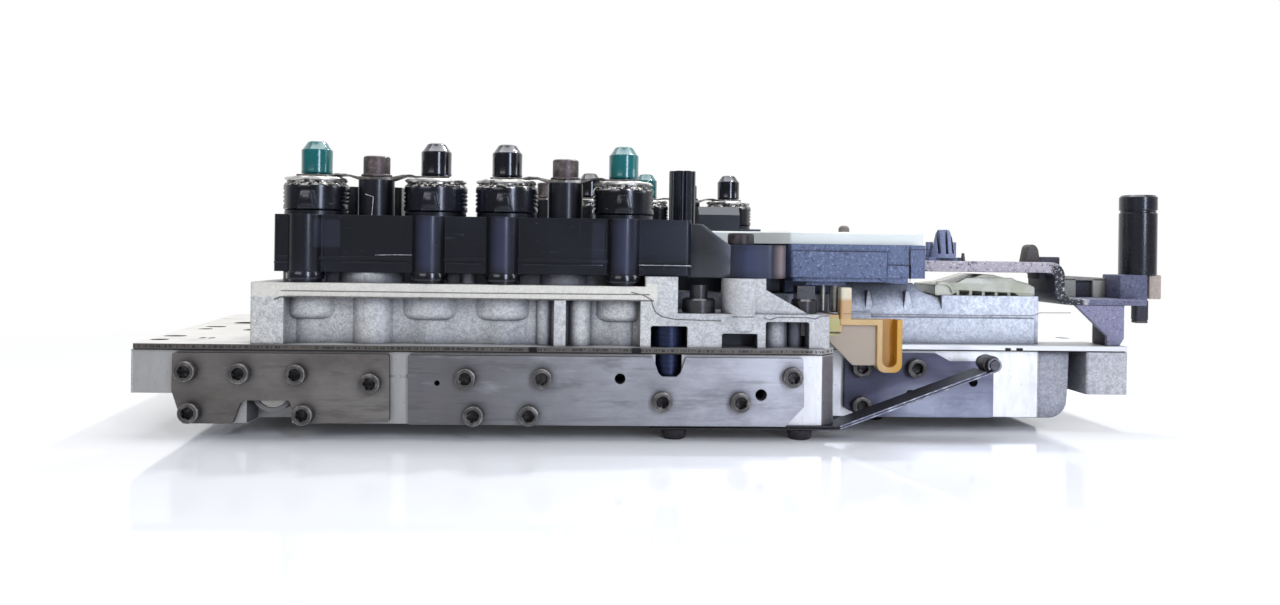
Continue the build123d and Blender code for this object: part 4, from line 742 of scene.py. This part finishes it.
collar_black = moulded_black("collar_black", (7, 7, 10), 0.16, gloss=0.3, specks=0.4)
cap_black = moulded_black("cap_black", (8, 8, 14), 0.1, painted_sheen=(20, 20, 44), gloss=0.6, specks=0.35)
cap_green = moulded_black("cap_green", (14, 92, 92), 0.12, painted_sheen=(20, 116, 126), gloss=0.7, specks=0.6)
# Bright metallic chips on the collars' upper bevel, which also paint the glints seen there
chipped_glint_rim = Finish("chipped_glint_rim", edge=0.0004, Roughness=0.22, Specular_IOR_Level=0.5)
glint_chip = chipped_glint_rim.noise(520.0, 3.0, 0.7, stretch=(1.0, 1.0, 2.0)).above(0.5, 0.56)
glint_chipped = chipped_glint_rim.tint(glint_chip, paint(10, 10, 13), paint(214, 212, 208))
chipped_glint_rim.set(Base_Color=glint_chipped, Metallic=glint_chip * 0.8)
chipped_glint_rim.bump(glint_chip, 0.0002, 0.6)
scratch_and_highlight = grained("scratch_and_highlight", 0.5, 800.0, 0.35, 0.6, (120, 122, 132), (226, 228, 234))
dressed("solenoid_carrier", [carrier_black])
# Web that slopes from the bar down to the lug, and the ledge along the foot of the bar
web = ([(19.6, 61.4), (39.0, 61.4), (39.0, 74.0), (34.8, 74.0), (24.2, 81.8), (19.6, 81.8)], 5.95, 7.2, 0.25)
ledges = ((-137.0, -118.6, 64.9), (-111.6, -87.4, 65.2), (-72.0, -59.8, 65.2), (-44.0, -13.8, 65.2),
          (1.6, 20.4, 65.2))
slabs_piece("carrier_ledge", [carrier_black], [web] + [
    (oblong(left, right, low, low + 0.6), 5.5, 6.6, 0.12) for left, right, low in ledges])
# Rings round the feet of its four front columns
foot_y, foot_low = 7.6, 58.9
made = bmesh.new()
for station in (-125.8, -79.6, -51.9, -6.0):
    lathe(made, [(6.2, 0), (6.9, 0.1), (6.95, 0.5), (6.95, 2.6), (6.6, 3.2), (6.2, 3.3), (6.2, 0)], 48,
          spot(station, foot_y, foot_low))
place_piece(made, "carrier_feet", [post_gloss])
bar, ledge = 5.95, 5.45               # front faces of the carrier, under its scuff and highlight lines
# A pale scratch on the bar, and pale lines that paint highlights down the left end, along the ledge and down
# a pillar's seam
scuffs_and_highlights = {
    "end_edge_highlight": (0.22, [(-129.2, bar, 65.6), (-129.3, bar, 74.0), (-129.2, bar, 82.4)]),
    "bar_scuff": (0.2, [(-99.6, bar, 68.3), (-93.0, bar, 68.5), (-85.8, bar, 68.5)]),
    "ledge_highlight": (0.22, [(-2.5, ledge, 65.85), (8.0, ledge, 65.85), (20.0, ledge, 65.85)]),
    "pillar_seam_highlight": (0.26, [(-105.4, 13.3, 91.6), (-104.0, 13.2, 91.2), (-102.3, 13.1, 90.6),
                            (-102.5, 13.1, 87.0), (-102.8, 13.1, 83.6)]),
}
for name, (thick, points) in scuffs_and_highlights.items():
    flash_line(name, points, thick, scratch_and_highlight)

# Solenoids. Each is a drawn steel can with a crimped disc on top, a black collar that turns in the carrier
# and a moulded cap, teal or black; two at a time are held by a forked leaf.
can_steel = bright_steel("can_steel", (158, 168, 188), 0.2)
crimp_steel = bright_steel("crimp_steel", (226, 224, 220), 0.3)
teal_caps = {"front_1", "front_4", "back_3"}
collar_grooves = (2.8, 4.4, 6.0, 7.6)
glint_level, crimp_sink = 9.7, 0.05    # above a collar's foot, and below its upper end
latch_reach, latch_taper = 12.0, 0.66


def collar_outline(at, height, angle):
    """Grooves the sides of a collar and leaves its front and back smooth."""
    side = abs(cos(angle)) > 0.88
    if side and any(abs(height - groove) < 0.1 for groove in collar_grooves) and at > 11:
        return 0.958
    return 1.0 if side or at < 11 else 0.985


def crimp_outline(at, height, angle):
    """The uneven lip that the crimping tool leaves."""
    folds = 0.028 * sin(5 * angle + height * 2.1) + 0.018 * sin(11 * angle + 1.3) + 0.01 * sin(19 * angle)
    return 1.0 + folds


for row in ("front", "back"):
    outward = -1 if row == "front" else 1
    for k in range(1, 5):
        mark = f"{row}_{k}"
        dressed(f"solenoid_can_{mark}", [can_steel])
        low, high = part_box(f"solenoid_can_{mark}")
        middle = (low + high) / 2
        collar_low, collar_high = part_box(f"solenoid_collar_{mark}")
        tall = (collar_high.z - collar_low.z) / MM
        made = bmesh.new()
        profile = [(10.6, 0), (11.5, 0), (12.2, 0.7), (12.2, 2.0)]
        for groove in collar_grooves:
            profile += [(12.2, groove), (12.2, groove + 0.45), (12.2, groove + 1.1)]
        profile += [(12.2, 9.6), (11.7, 10.5), (11.1, 10.9), (10.9, tall), (10.6, tall), (10.6, 0)]
        lathe(made, profile, 72, (middle.x, middle.y, collar_low.z), None, collar_outline,
              lambda at, height: int(height > glint_level))
        # Latch with its raised frame on the face of the collar
        for wide, deep, low_edge, high_edge in ((3.7, 0.9, 0.4, 7.4), (2.5, 1.15, 1.4, 6.2)):
            fresh = bmesh.new()
            bmesh.ops.create_cube(fresh, size=1.0)
            for corner in fresh.verts:
                x, y, z = corner.co
                narrow = latch_taper if z > 0 else 1.0
                corner.co = Vector((x * 2 * wide * narrow, y * deep, low_edge if z < 0 else high_edge)) * MM
            bmesh.ops.bevel(fresh, geom=fresh.edges[:], offset=0.22 * MM, segments=2, affect="EDGES",
                            profile=0.5, material=-1)
            face_of_collar = (middle.x, middle.y + outward * latch_reach * MM, collar_low.z)
            bmesh.ops.translate(fresh, verts=fresh.verts, vec=face_of_collar)
            poured(made, fresh)
        place_piece(made, f"collar_{mark}", [collar_black, chipped_glint_rim.material],
                    [f"solenoid_collar_{mark}"])
        made = bmesh.new()
        profile = [(9.0, 0), (10.9, -0.1), (11.4, 0.3), (11.4, 1.0), (10.7, 1.5), (9.6, 1.35), (9.0, 0.9),
                   (9.0, 0)]
        lathe(made, profile, 96, (middle.x, middle.y, collar_high.z - crimp_sink * MM),
              Matrix.Rotation(k * 1.1, 3, "Z"), crimp_outline)
        place_piece(made, f"crimp_{mark}", [crimp_steel], crease=50)
        # Cap: narrow neck, rolled foot, straight side, a step and a cone with a flat end
        cap_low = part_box(f"solenoid_cap_{mark}")[0]
        made = bmesh.new()
        profile = [(0, 0), (5.0, 0), (5.0, 1.35), (5.45, 1.4), (5.85, 1.75), (5.9, 2.3), (5.82, 2.7),
                   (5.82, 6.0), (5.86, 10.5), (5.7, 10.85), (5.4, 11.05), (3.75, 13.5), (3.45, 13.85),
                   (3.0, 13.95), (2.8, 14.1), (0, 14.1)]
        lathe(made, profile, 48, (middle.x, middle.y, cap_low.z))
        teal = mark in teal_caps
        place_piece(made, f"cap_{mark}", [cap_green if teal else cap_black],
                    [f"solenoid_cap_{mark}"], crease=24)

# Hold-down leaves. Dark spring steel, stamped with a fork at both ends. Each grips the necks of two caps and
# is screwed to the pillar between them.
leaf_steel = black_oxide("leaf_steel", (62, 60, 60), (150, 146, 140), shine=0.26)
leaf_edge = black_oxide("leaf_edge", (112, 108, 104), (196, 192, 186), shine=0.22)
leaf_level, leaf_flat = 98.6 * MM, 0.45
for name in ("front_left", "front_right", "back_left", "back_right"):
    made = joined(f"hold_down_{name}")
    for corner in made.verts:
        if corner.co.z > leaf_level:
            corner.co.z = leaf_level + (corner.co.z - leaf_level) * leaf_flat
    for face in made.faces:
        face.material_index = int(abs(face.normal.y) > 0.7)
    place_piece(made, f"hold_down_{name}_body", [leaf_steel, leaf_edge],
                [f"hold_down_{name}"])

# Electronic unit and lid. The unit's case is blue-grey speckled plastic with a stepped side; its flat lid is
# off-white and clips on top.


def speckled(name, tone, fleck, regions=(), dark=None, amount=0.65):
    """Filled plastic with pale flecks, its tone set by where on the piece it lies, and painted shade with
    some dirt in its corners.
    """
    made = Finish(name, edge=0.0005, Coat_Roughness=0.25, Specular_IOR_Level=0.4)
    grain = made.noise(1500.0, 2.0)
    fleck_mask = made.noise(1000.0, 2.0, 0.75).above(0.55, 0.66)
    cloud = made.noise(26.0, 3.0, 0.5)
    skin = made.tint(cloud.above(0.35, 0.75) * 0.4, paint(*tone), paint(*tone, 0.74))
    flecks = paint(*fleck)
    for low, high, shade, glint in regions:
        mask = made.within(low, high, soft=0.6)
        skin = made.over(skin, mask, shade)
        flecks = made.tint(mask, flecks, paint(*glint))
    skin = made.tint(fleck_mask * amount, skin, flecks)
    if dark:
        pit = made.noise(780.0, 2.0, 0.7).above(0.57, 0.66)
        skin = made.over(skin, pit * 0.75, dark)
    skin = made.shaded_and_grimed(skin, 0.003, 0.45, 1.0, 0.7, (16, 16, 22))
    made.set(Base_Color=skin, Roughness=0.42 + 0.2 * grain)
    made.bump(grain, 0.00008, 0.4)
    return made.material


lid_top = 80.1
unit_grey = speckled("unit_grey", (88, 100, 132), (146, 162, 198), amount=0.45, dark=(46, 52, 76))
clip_grey = speckled("clip_grey", (116, 126, 158), (164, 174, 206), amount=0.4)
vent_grey = speckled("vent_grey", (112, 106, 102), (150, 144, 138), amount=0.4)
lid_white = Finish("lid_white", edge=0.0004, Roughness=0.42)
cloud = lid_white.noise(30.0, 4.0)
grain = lid_white.noise(1200.0, 2.0)
skin = lid_white.tint(cloud.above(0.4, 0.75) * 0.5, paint(214, 219, 216), paint(196, 202, 196))
# Painted shade, with some dirt, greys the lid's corners
lid_white.set(Base_Color=lid_white.shaded_and_grimed(skin, 0.003, 0.4, 1.0, 0.4, (120, 118, 108)))
lid_white.bump(grain, 0.00005, 0.3)
dressed("control_unit", [unit_grey])
side = 13.95                          # front side of the unit, under its rebate lines
# The rebate, slit and panel lines are drawn black, as the painted shade in these grooves
lines = {
    "unit_rebate": (0.28, [(61.0, side, 72.2), (98.6, side, 72.2), (98.6, side, 67.0), (107.6, side, 67.0)]),
    "unit_slit": (0.28, [(107.6, side, 60.6), (107.6, side, 73.2), (115.2, side, 73.4)]),
    "unit_panel": (0.22, [(98.4, side, 60.8), (98.4, side, 66.8)]),
}
for name, (thick, points) in lines.items():
    flash_line(name, points, thick, recess_shade_black)


def vent_dome(face):
    """The small grey vent on the lid."""
    return face.calc_center_median().z > spot(0, 0, lid_top).z


dressed("control_unit_cover", [lid_white.material, vent_grey], milled=vent_dome)

# Sensor arm, upright post and clip. The arm is moulded in the same filled plastic, carried out over the right
# shelf on a leg; the glossy black post stands on its end and a slotted cone clip sits in its bracket.
post_black = moulded_black("post_black", (22, 22, 25), 0.2, painted_sheen=(36, 38, 60), gloss=0.35)
arm_regions = (
    # The first box paints shade on the S-bend, keeping pale flecks in it
    ((170.6, -ALL, 50.0), (184.0, ALL, 67.6), (30, 30, 38), (236, 236, 240)),
    ((186.0, -ALL, 51.0), (217.2, ALL, 54.5), (92, 94, 118), (150, 152, 176)),
)
arm_speckle = speckled("arm_speckle", (166, 160, 170), (222, 220, 230), arm_regions, (30, 28, 36), 0.5)
arm_shade = speckled("arm_shade", (38, 38, 50), (80, 80, 104), amount=0.3)
arm_brown = speckled("arm_brown", (72, 68, 68), (112, 108, 106), amount=0.35)
arm_wall = speckled("arm_wall", (150, 148, 142), (186, 184, 178), amount=0.4)
arm_blue = speckled("arm_blue", (78, 82, 106), (128, 132, 158), amount=0.4, dark=(44, 46, 64))
arm_violet = speckled("arm_violet", (128, 128, 156), (178, 170, 186), amount=0.45, dark=(80, 76, 104))
arm_buff = speckled("arm_buff", (158, 146, 138), (192, 182, 172), amount=0.4)
arm_front, arm_back = 25.4, 49.4
beam_top, flange_low, drop, arm_end = 68.9, 51.4, 175.0, 210.9
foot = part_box("separator_plate")[1].z / MM
beam_thick, flange_thick, head_top = 4.4, 2.4, 63.9
made = bmesh.new()
over_bend = bend(drop - 4.5, beam_top - 5.6, 5.6, 90, 0) + bend(drop + 5.1, flange_low + 6.4, 4.0, 180, 270)
under_bend = bend(drop + 2.9, flange_low + 6.1, 6.1, 270, 180) + bend(drop - 5.5, beam_top - 6.7, 2.3, 0, 90)
beam_end = [(arm_end, flange_low + flange_thick), (arm_end, flange_low)]
front_slab(made, [(116.1, beam_top)] + over_bend + beam_end + under_bend
           + [(119.0, beam_top - beam_thick), (116.1, beam_top - 3.2)], arm_front, arm_back, 0.35)
for face in made.faces:
    face.material_index = int(face.normal.y > -0.7 and face.normal.z < 0.5)
place_piece(made, "arm_beam", [arm_speckle, arm_shade], ["sensor_arm"])
wall_near, wall_low = arm_back - 2.4, flange_low + 2.0
arm_pieces = {
    "arm_wall": ([arm_wall, arm_shade], [
        (oblong(174.0, 181.0, wall_low, 61.8), wall_near, arm_back - 0.4, 0.2),
        (oblong(187.0, 192.0, wall_low, 61.8), wall_near, arm_back - 0.4, 0.2),
        (oblong(199.5, 206.9, wall_low, 61.8), wall_near, arm_back - 0.4, 0.2),
        ([(174.0, 61.0), (206.9, 61.0), (206.9, 62.2), (174.0, 63.6)], wall_near, arm_back, 0.25),
        (oblong(174.2, 206.7, wall_low, 61.4), arm_back - 0.6, arm_back, 0.2, 1),
    ]),
    "arm_head": ([arm_blue], [
        (oblong(arm_end - 6, arm_end + 6.2, flange_low, head_top), arm_front + 10, arm_back, 0.6),
    ]),
    "arm_gusset": ([arm_violet], [
        ([(180.9, flange_low), (201.5, flange_low), (201.5, foot + 3), (199.7, foot + 0.1),
          (194.3, foot + 0.1), (194.3, foot + 4)], arm_front + 0.4, arm_front + 2.8, 0.25),
    ]),
    # Leg, its brace, the link to the plug, the peg below and the block on the beam
    "arm_dark_parts": ([arm_shade], [
        (oblong(194.1, 199.7, foot + 0.1, flange_low), arm_front + 2, arm_front + 12, 0.5),
        ([(199.3, foot + 6), (207.7, flange_low), (199.3, flange_low)], arm_front + 10, arm_front + 12, 0.2),
        (oblong(arm_end + 5, arm_end + 12, flange_low + 4, 61.9), arm_front + 15, arm_back, 0.3),
        (oblong(arm_end + 1.7, arm_end + 7.1, 44.6, wall_low), arm_front + 10.6, arm_front + 15, 0.6),
        (oblong(168.6, 177.4, 61.6, 71.1), arm_front + 7, arm_front + 18, 0.5),
    ]),
    "arm_tabs": ([arm_brown], [
        ([(162.0, beam_top - 0.2), (168.6, beam_top - 0.2), (167.7, 74.0)]
         + bend(165.2, 74.0, 2.2, 0, 180, 6)[1:], arm_front + 6, arm_front + 12, 0.4),
        ([(134.4, beam_top - 0.2), (135.8, beam_top - 0.2), (135.4, 72.2), (134.8, 72.2)],
         arm_front + 3.6, arm_front + 5.4, 0.2),
        (oblong(arm_end + 1.9, arm_end + 6.9, 43.5, 44.7), arm_front + 10.8, arm_front + 14.8, 0.3),
    ]),
    "arm_plug": ([arm_buff], [
        (oblong(arm_end + 9.2, arm_end + 14.6, flange_low + 2.2, head_top), arm_front + 14, arm_front + 21,
         0.5),
    ]),
}
for name, (finishes, slabs) in arm_pieces.items():
    slabs_piece(name, finishes, slabs)
dressed("arm_clip", [clip_grey])
dressed("sensor_post", [post_black])

# Selector slide and manual valve. The slide is amber plastic; its web is painted sand-grey as shade. The
# lever's pin works in its fork, and its hook draws the turned steel valve through the upper casting.
made = Finish("amber_plastic", edge=0.0006, Roughness=0.34, Subsurface_Weight=0.2, Subsurface_Scale=0.002)
cloud = made.noise(90.0)
across = made.place.part(0).above(spot(97.0, 0, 0).x, spot(102.5, 0, 0).x)
amber = made.tint(cloud.above(0.35, 0.7) * 0.6, paint(196, 166, 118), paint(184, 150, 98))
rail = made.tint(across, amber, paint(196, 148, 56))
# Painted shade: the web is the same amber plastic, painted sand-grey
web = made.within((-ALL, 14.1, 20), (94.3, ALL, 43.4))
skin = made.tint(web, rail, paint(164, 151, 136))
hook = made.within((-ALL, -ALL, 39.0), (79.6, ALL, 48.0))
skin = made.over(skin, hook, (180, 172, 116))
# Painted shade: deeper orange inside the fork's pocket
pocket = made.within((96.4, 13.1, 26.4), (102.7, 18.0, ALL))
deep = made.tint(across, paint(160, 122, 66), paint(184, 126, 20))
skin = made.tint(pocket, skin, deep)
skin = made.over(skin, made.within((-ALL, -ALL, 45.9), (ALL, ALL, 53.0), 0.6), (186, 152, 110))
skin = made.over(skin, made.within((-ALL, -ALL, 53.4), (ALL, ALL, ALL), 0.6), (206, 198, 176))
made.set(Base_Color=made.shaded_and_grimed(skin, 0.003, 0.4, 1.0, 0.55, (140, 84, 24)))
made.bump(made.noise(900.0, 2.0, 0.5), 0.00008, 0.3)
dressed("selector_slide", [made.material], "selector")
dressed("manual_valve", [turned_steel], "selector")

# Detent leaf, roller and pin. A blued spring steel strip, clamped under the lower casting, rises to the
# roller that drops into the selector's notches; its end is rolled round the pin.
leaf_black = black_oxide("leaf_black", (9, 9, 14), (26, 27, 40), shine=0.34, steel=0.05)
leaf_edge_highlight = black_oxide("leaf_edge_highlight", (96, 98, 112), (206, 208, 218), shine=0.2, steel=0.7)
ply_thick, ply_front, ply_wide = 0.62, 0.75, 11.7
run_left, run_right, run_level = 4.9, 75.7, 3.9
eye_x, eye_z, eye_radius = 136.5, 29.3, 2.72
fork_reach, fork_near, fork_far = 131.5, 3.0, 10.2
highlight_from = 82
lead = atan2(eye_z - run_level, eye_x - 76.5)


def leaf_ply(name, rise, eye, stands_for):
    """One ply of the leaf: level run, slope to the roller and, on the lower ply, the rolled eye."""
    made = bmesh.new()
    path = [(run_left, run_level + rise), (run_right, run_level + rise), (run_right + 1.5, 4.1 + rise)]
    across_lead = Vector((-sin(lead), 0, cos(lead)))
    hub = Vector((eye_x, 0, eye_z))
    foot = hub - across_lead * (eye_radius - rise * 0.5) if eye else hub - across_lead * (eye_radius - rise)
    along_lead = Vector((cos(lead), 0, sin(lead)))
    if eye:
        path.append((foot.x, foot.z))
        for step in range(1, 17):
            turn = -pi / 2 + lead + radians(18 * step)
            path.append((hub.x + eye_radius * cos(turn), hub.z + eye_radius * sin(turn)))
    else:
        stop = foot - along_lead * 4.0
        path.append((stop.x, stop.z))
    corners = [made.verts.new(spot(x, ply_front, z)) for x, z in path]
    chain = [made.edges.new(pair) for pair in zip(corners, corners[1:])]
    wide = bmesh.ops.extrude_edge_only(made, edges=chain)
    fresh = [item for item in wide["geom"] if isinstance(item, bmesh.types.BMVert)]
    bmesh.ops.translate(made, verts=fresh, vec=(0, ply_wide * MM, 0))
    crossing = [edge for edge in made.edges if abs(edge.verts[0].co.y - edge.verts[1].co.y) > 5 * MM]
    bmesh.ops.subdivide_edges(made, edges=crossing, cuts=8)
    # The fork that lets the roller through
    reach = spot(fork_reach, 0, 0).x
    gap = [face for face in made.faces if face.calc_center_median().x > reach
           and spot(0, fork_near, 0).y < face.calc_center_median().y < spot(0, fork_far, 0).y]
    bmesh.ops.delete(made, geom=gap, context="FACES")
    bmesh.ops.recalc_face_normals(made, faces=made.faces)
    bmesh.ops.solidify(made, geom=made.faces[:], thickness=ply_thick * MM)
    bmesh.ops.recalc_face_normals(made, faces=made.faces)
    # The thin front and back edges of the slope are painted bright, as highlight lines
    for face in made.faces:
        on_slope = face.calc_center_median().x > spot(highlight_from, 0, 0).x
        face.material_index = int(abs(face.normal.y) > 0.7 and on_slope)
    ply = place_piece(made, name, [leaf_black, leaf_edge_highlight], stands_for, None, 40)
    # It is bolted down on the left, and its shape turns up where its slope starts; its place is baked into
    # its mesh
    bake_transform(ply)


leaf_ply("leaf_lower_ply", 0.32, True, ["detent_spring"])
leaf_ply("leaf_upper_ply", 1.28, False, [])
dressed("detent_pin", [bolt_steel], "detent")
dressed("detent_roller", [dark_screw], "roller")

# Valves behind the covers. Ground steel spools that slide in the lower casting's bores, each against a coil
# spring; each spring gets a mesh of its own.
for k in (1, 2, 3):
    dressed(f"valve_spool_{k}", [turned_steel], f"spool_{k}")
    coil = dressed(f"valve_spring_{k}", [leaf_steel])
    near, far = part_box(f"valve_spring_{k}")
    seat = ((near.x + far.x) / 2, far.y, (near.z + far.z) / 2)
    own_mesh(coil)

# Stage. A glossy white sheet lies under the unit, takes its shadow and mirror image, and fades into the white
# backdrop behind and in front of it.
made = Finish("white_sheet", Roughness=0.06, Specular_IOR_Level=1.0)
distance = made.place.node("ShaderNodeVectorMath", {"operation": "LENGTH"}, {0: made.place}, output=1)
made.set(Base_Color=paint(240, 242, 247))
glow = made.place.node("ShaderNodeEmission", {}, {"Color": (1, 1, 1, 1), "Strength": 1.0})
seen = made.place.node("ShaderNodeLightPath", output="Is Camera Ray")
veil = 0.02 + 0.98 * distance.above(0.22, 0.56)
surface = made.place.node("ShaderNodeMixShader", {}, {0: veil * seen, 2: glow})
made.tree.links.new(made.shader.outputs[0], surface.socket.node.inputs[1])
made.tree.links.new(surface.socket, made.tree.nodes["Material Output"].inputs["Surface"])
sheet = bmesh.new()
bmesh.ops.create_grid(sheet, x_segments=8, y_segments=8, size=4.0)
mesh = bpy.data.meshes.new("floor_sheet")
sheet.to_mesh(mesh)
sheet.free()
mesh.materials.append(made.material)
standing("floor_sheet", mesh)

# Studio air and lamps. The air is white where the camera looks and dimmer in reflections, so that glossy
# faces keep their depth; five soft boxes light the unit.
world = bpy.data.worlds.new("studio")
bpy.context.scene.world = world
world.use_nodes = True
sky = world.node_tree
back = sky.nodes["Background"]
air = Shade(sky)
seen = air.node("ShaderNodeLightPath", output="Is Camera Ray")
shine = air.node("ShaderNodeLightPath", output="Is Glossy Ray")
clear = air.node("ShaderNodeLightPath", output="Is Transmission Ray")
direction = air.node("ShaderNodeTexCoord", output="Generated")
rear = direction.part(1).above(-0.15, 0.5)
high = direction.part(2).above(-0.1, 0.9)
mirror = 0.1 + rear * 0.75 + high * 0.35
plain = seen.maths("MAXIMUM", seen, clear)
strength = seen.maths("MAXIMUM", plain, shine * mirror.maths("MINIMUM", mirror, 0.95))
strength = strength.maths("MAXIMUM", strength, 0.36 * (1 - shine))
sky.links.new(strength.socket, back.inputs["Strength"])
back.inputs["Color"].default_value = (1.0, 1.0, 1.0, 1.0)


def lamp(name, power, size, at, towards, tone=(1, 1, 1)):
    """A soft box at one place, turned to a point."""
    light = bpy.data.lights.new(name, "AREA")
    light.energy = power
    light.shape = "RECTANGLE"
    light.size, light.size_y = size
    light.color = tone
    holder = standing(name, light)
    holder.location = at
    holder.rotation_euler = (Vector(towards) - Vector(at)).to_track_quat("-Z", "Y").to_euler()


lamp("top_box", 6.4, (1.1, 0.5), (0.0, 0.1, 0.95), (0, 0, 0))
lamp("key_box", 5.2, (0.16, 0.7), (0.36, -0.85, 0.42), (0.02, 0, 0.05), (0.8, 0.86, 1.0))
lamp("fill_box", 2.0, (0.7, 0.3), (-0.6, -0.9, 0.5), (-0.1, 0, 0.05), (1.0, 0.98, 0.95))
lamp("rear_box", 4.0, (0.07, 0.05), (0.3, 0.42, 0.86), (0, 0, 0))
lamp("side_box", 2.4, (0.3, 0.5), (0.95, -0.15, 0.45), (0, 0, 0.05))

# Camera. A 26 mm lens, held level a little left of the unit's middle, slightly turned and rolled. Its
# picture and sight line are measured in pixels.
picture_wide, sight_line, film = 1280, 924, 36.0
lens = bpy.data.cameras.new("view")
lens.sensor_width = film
lens.lens = sight_line / picture_wide * film
lens.shift_y = -52.5 / picture_wide
lens.clip_start = 0.01
camera = standing("view", lens)
yaw, roll = radians(2.5), radians(0.8)
forward = Vector((sin(yaw), cos(yaw), 0))
right = Vector((cos(yaw), -sin(yaw), 0))
up = Vector((0, 0, 1))
across = right * cos(roll) + up * sin(roll)
upward = up * cos(roll) - right * sin(roll)
turn = Matrix((across, upward, -forward)).transposed()
camera.matrix_world = Matrix.Translation(spot(-15.1, -346.2, 71.6)) @ turn.to_4x4()
bpy.context.scene.camera = camera
bpy.context.scene.view_settings.view_transform = "Standard"
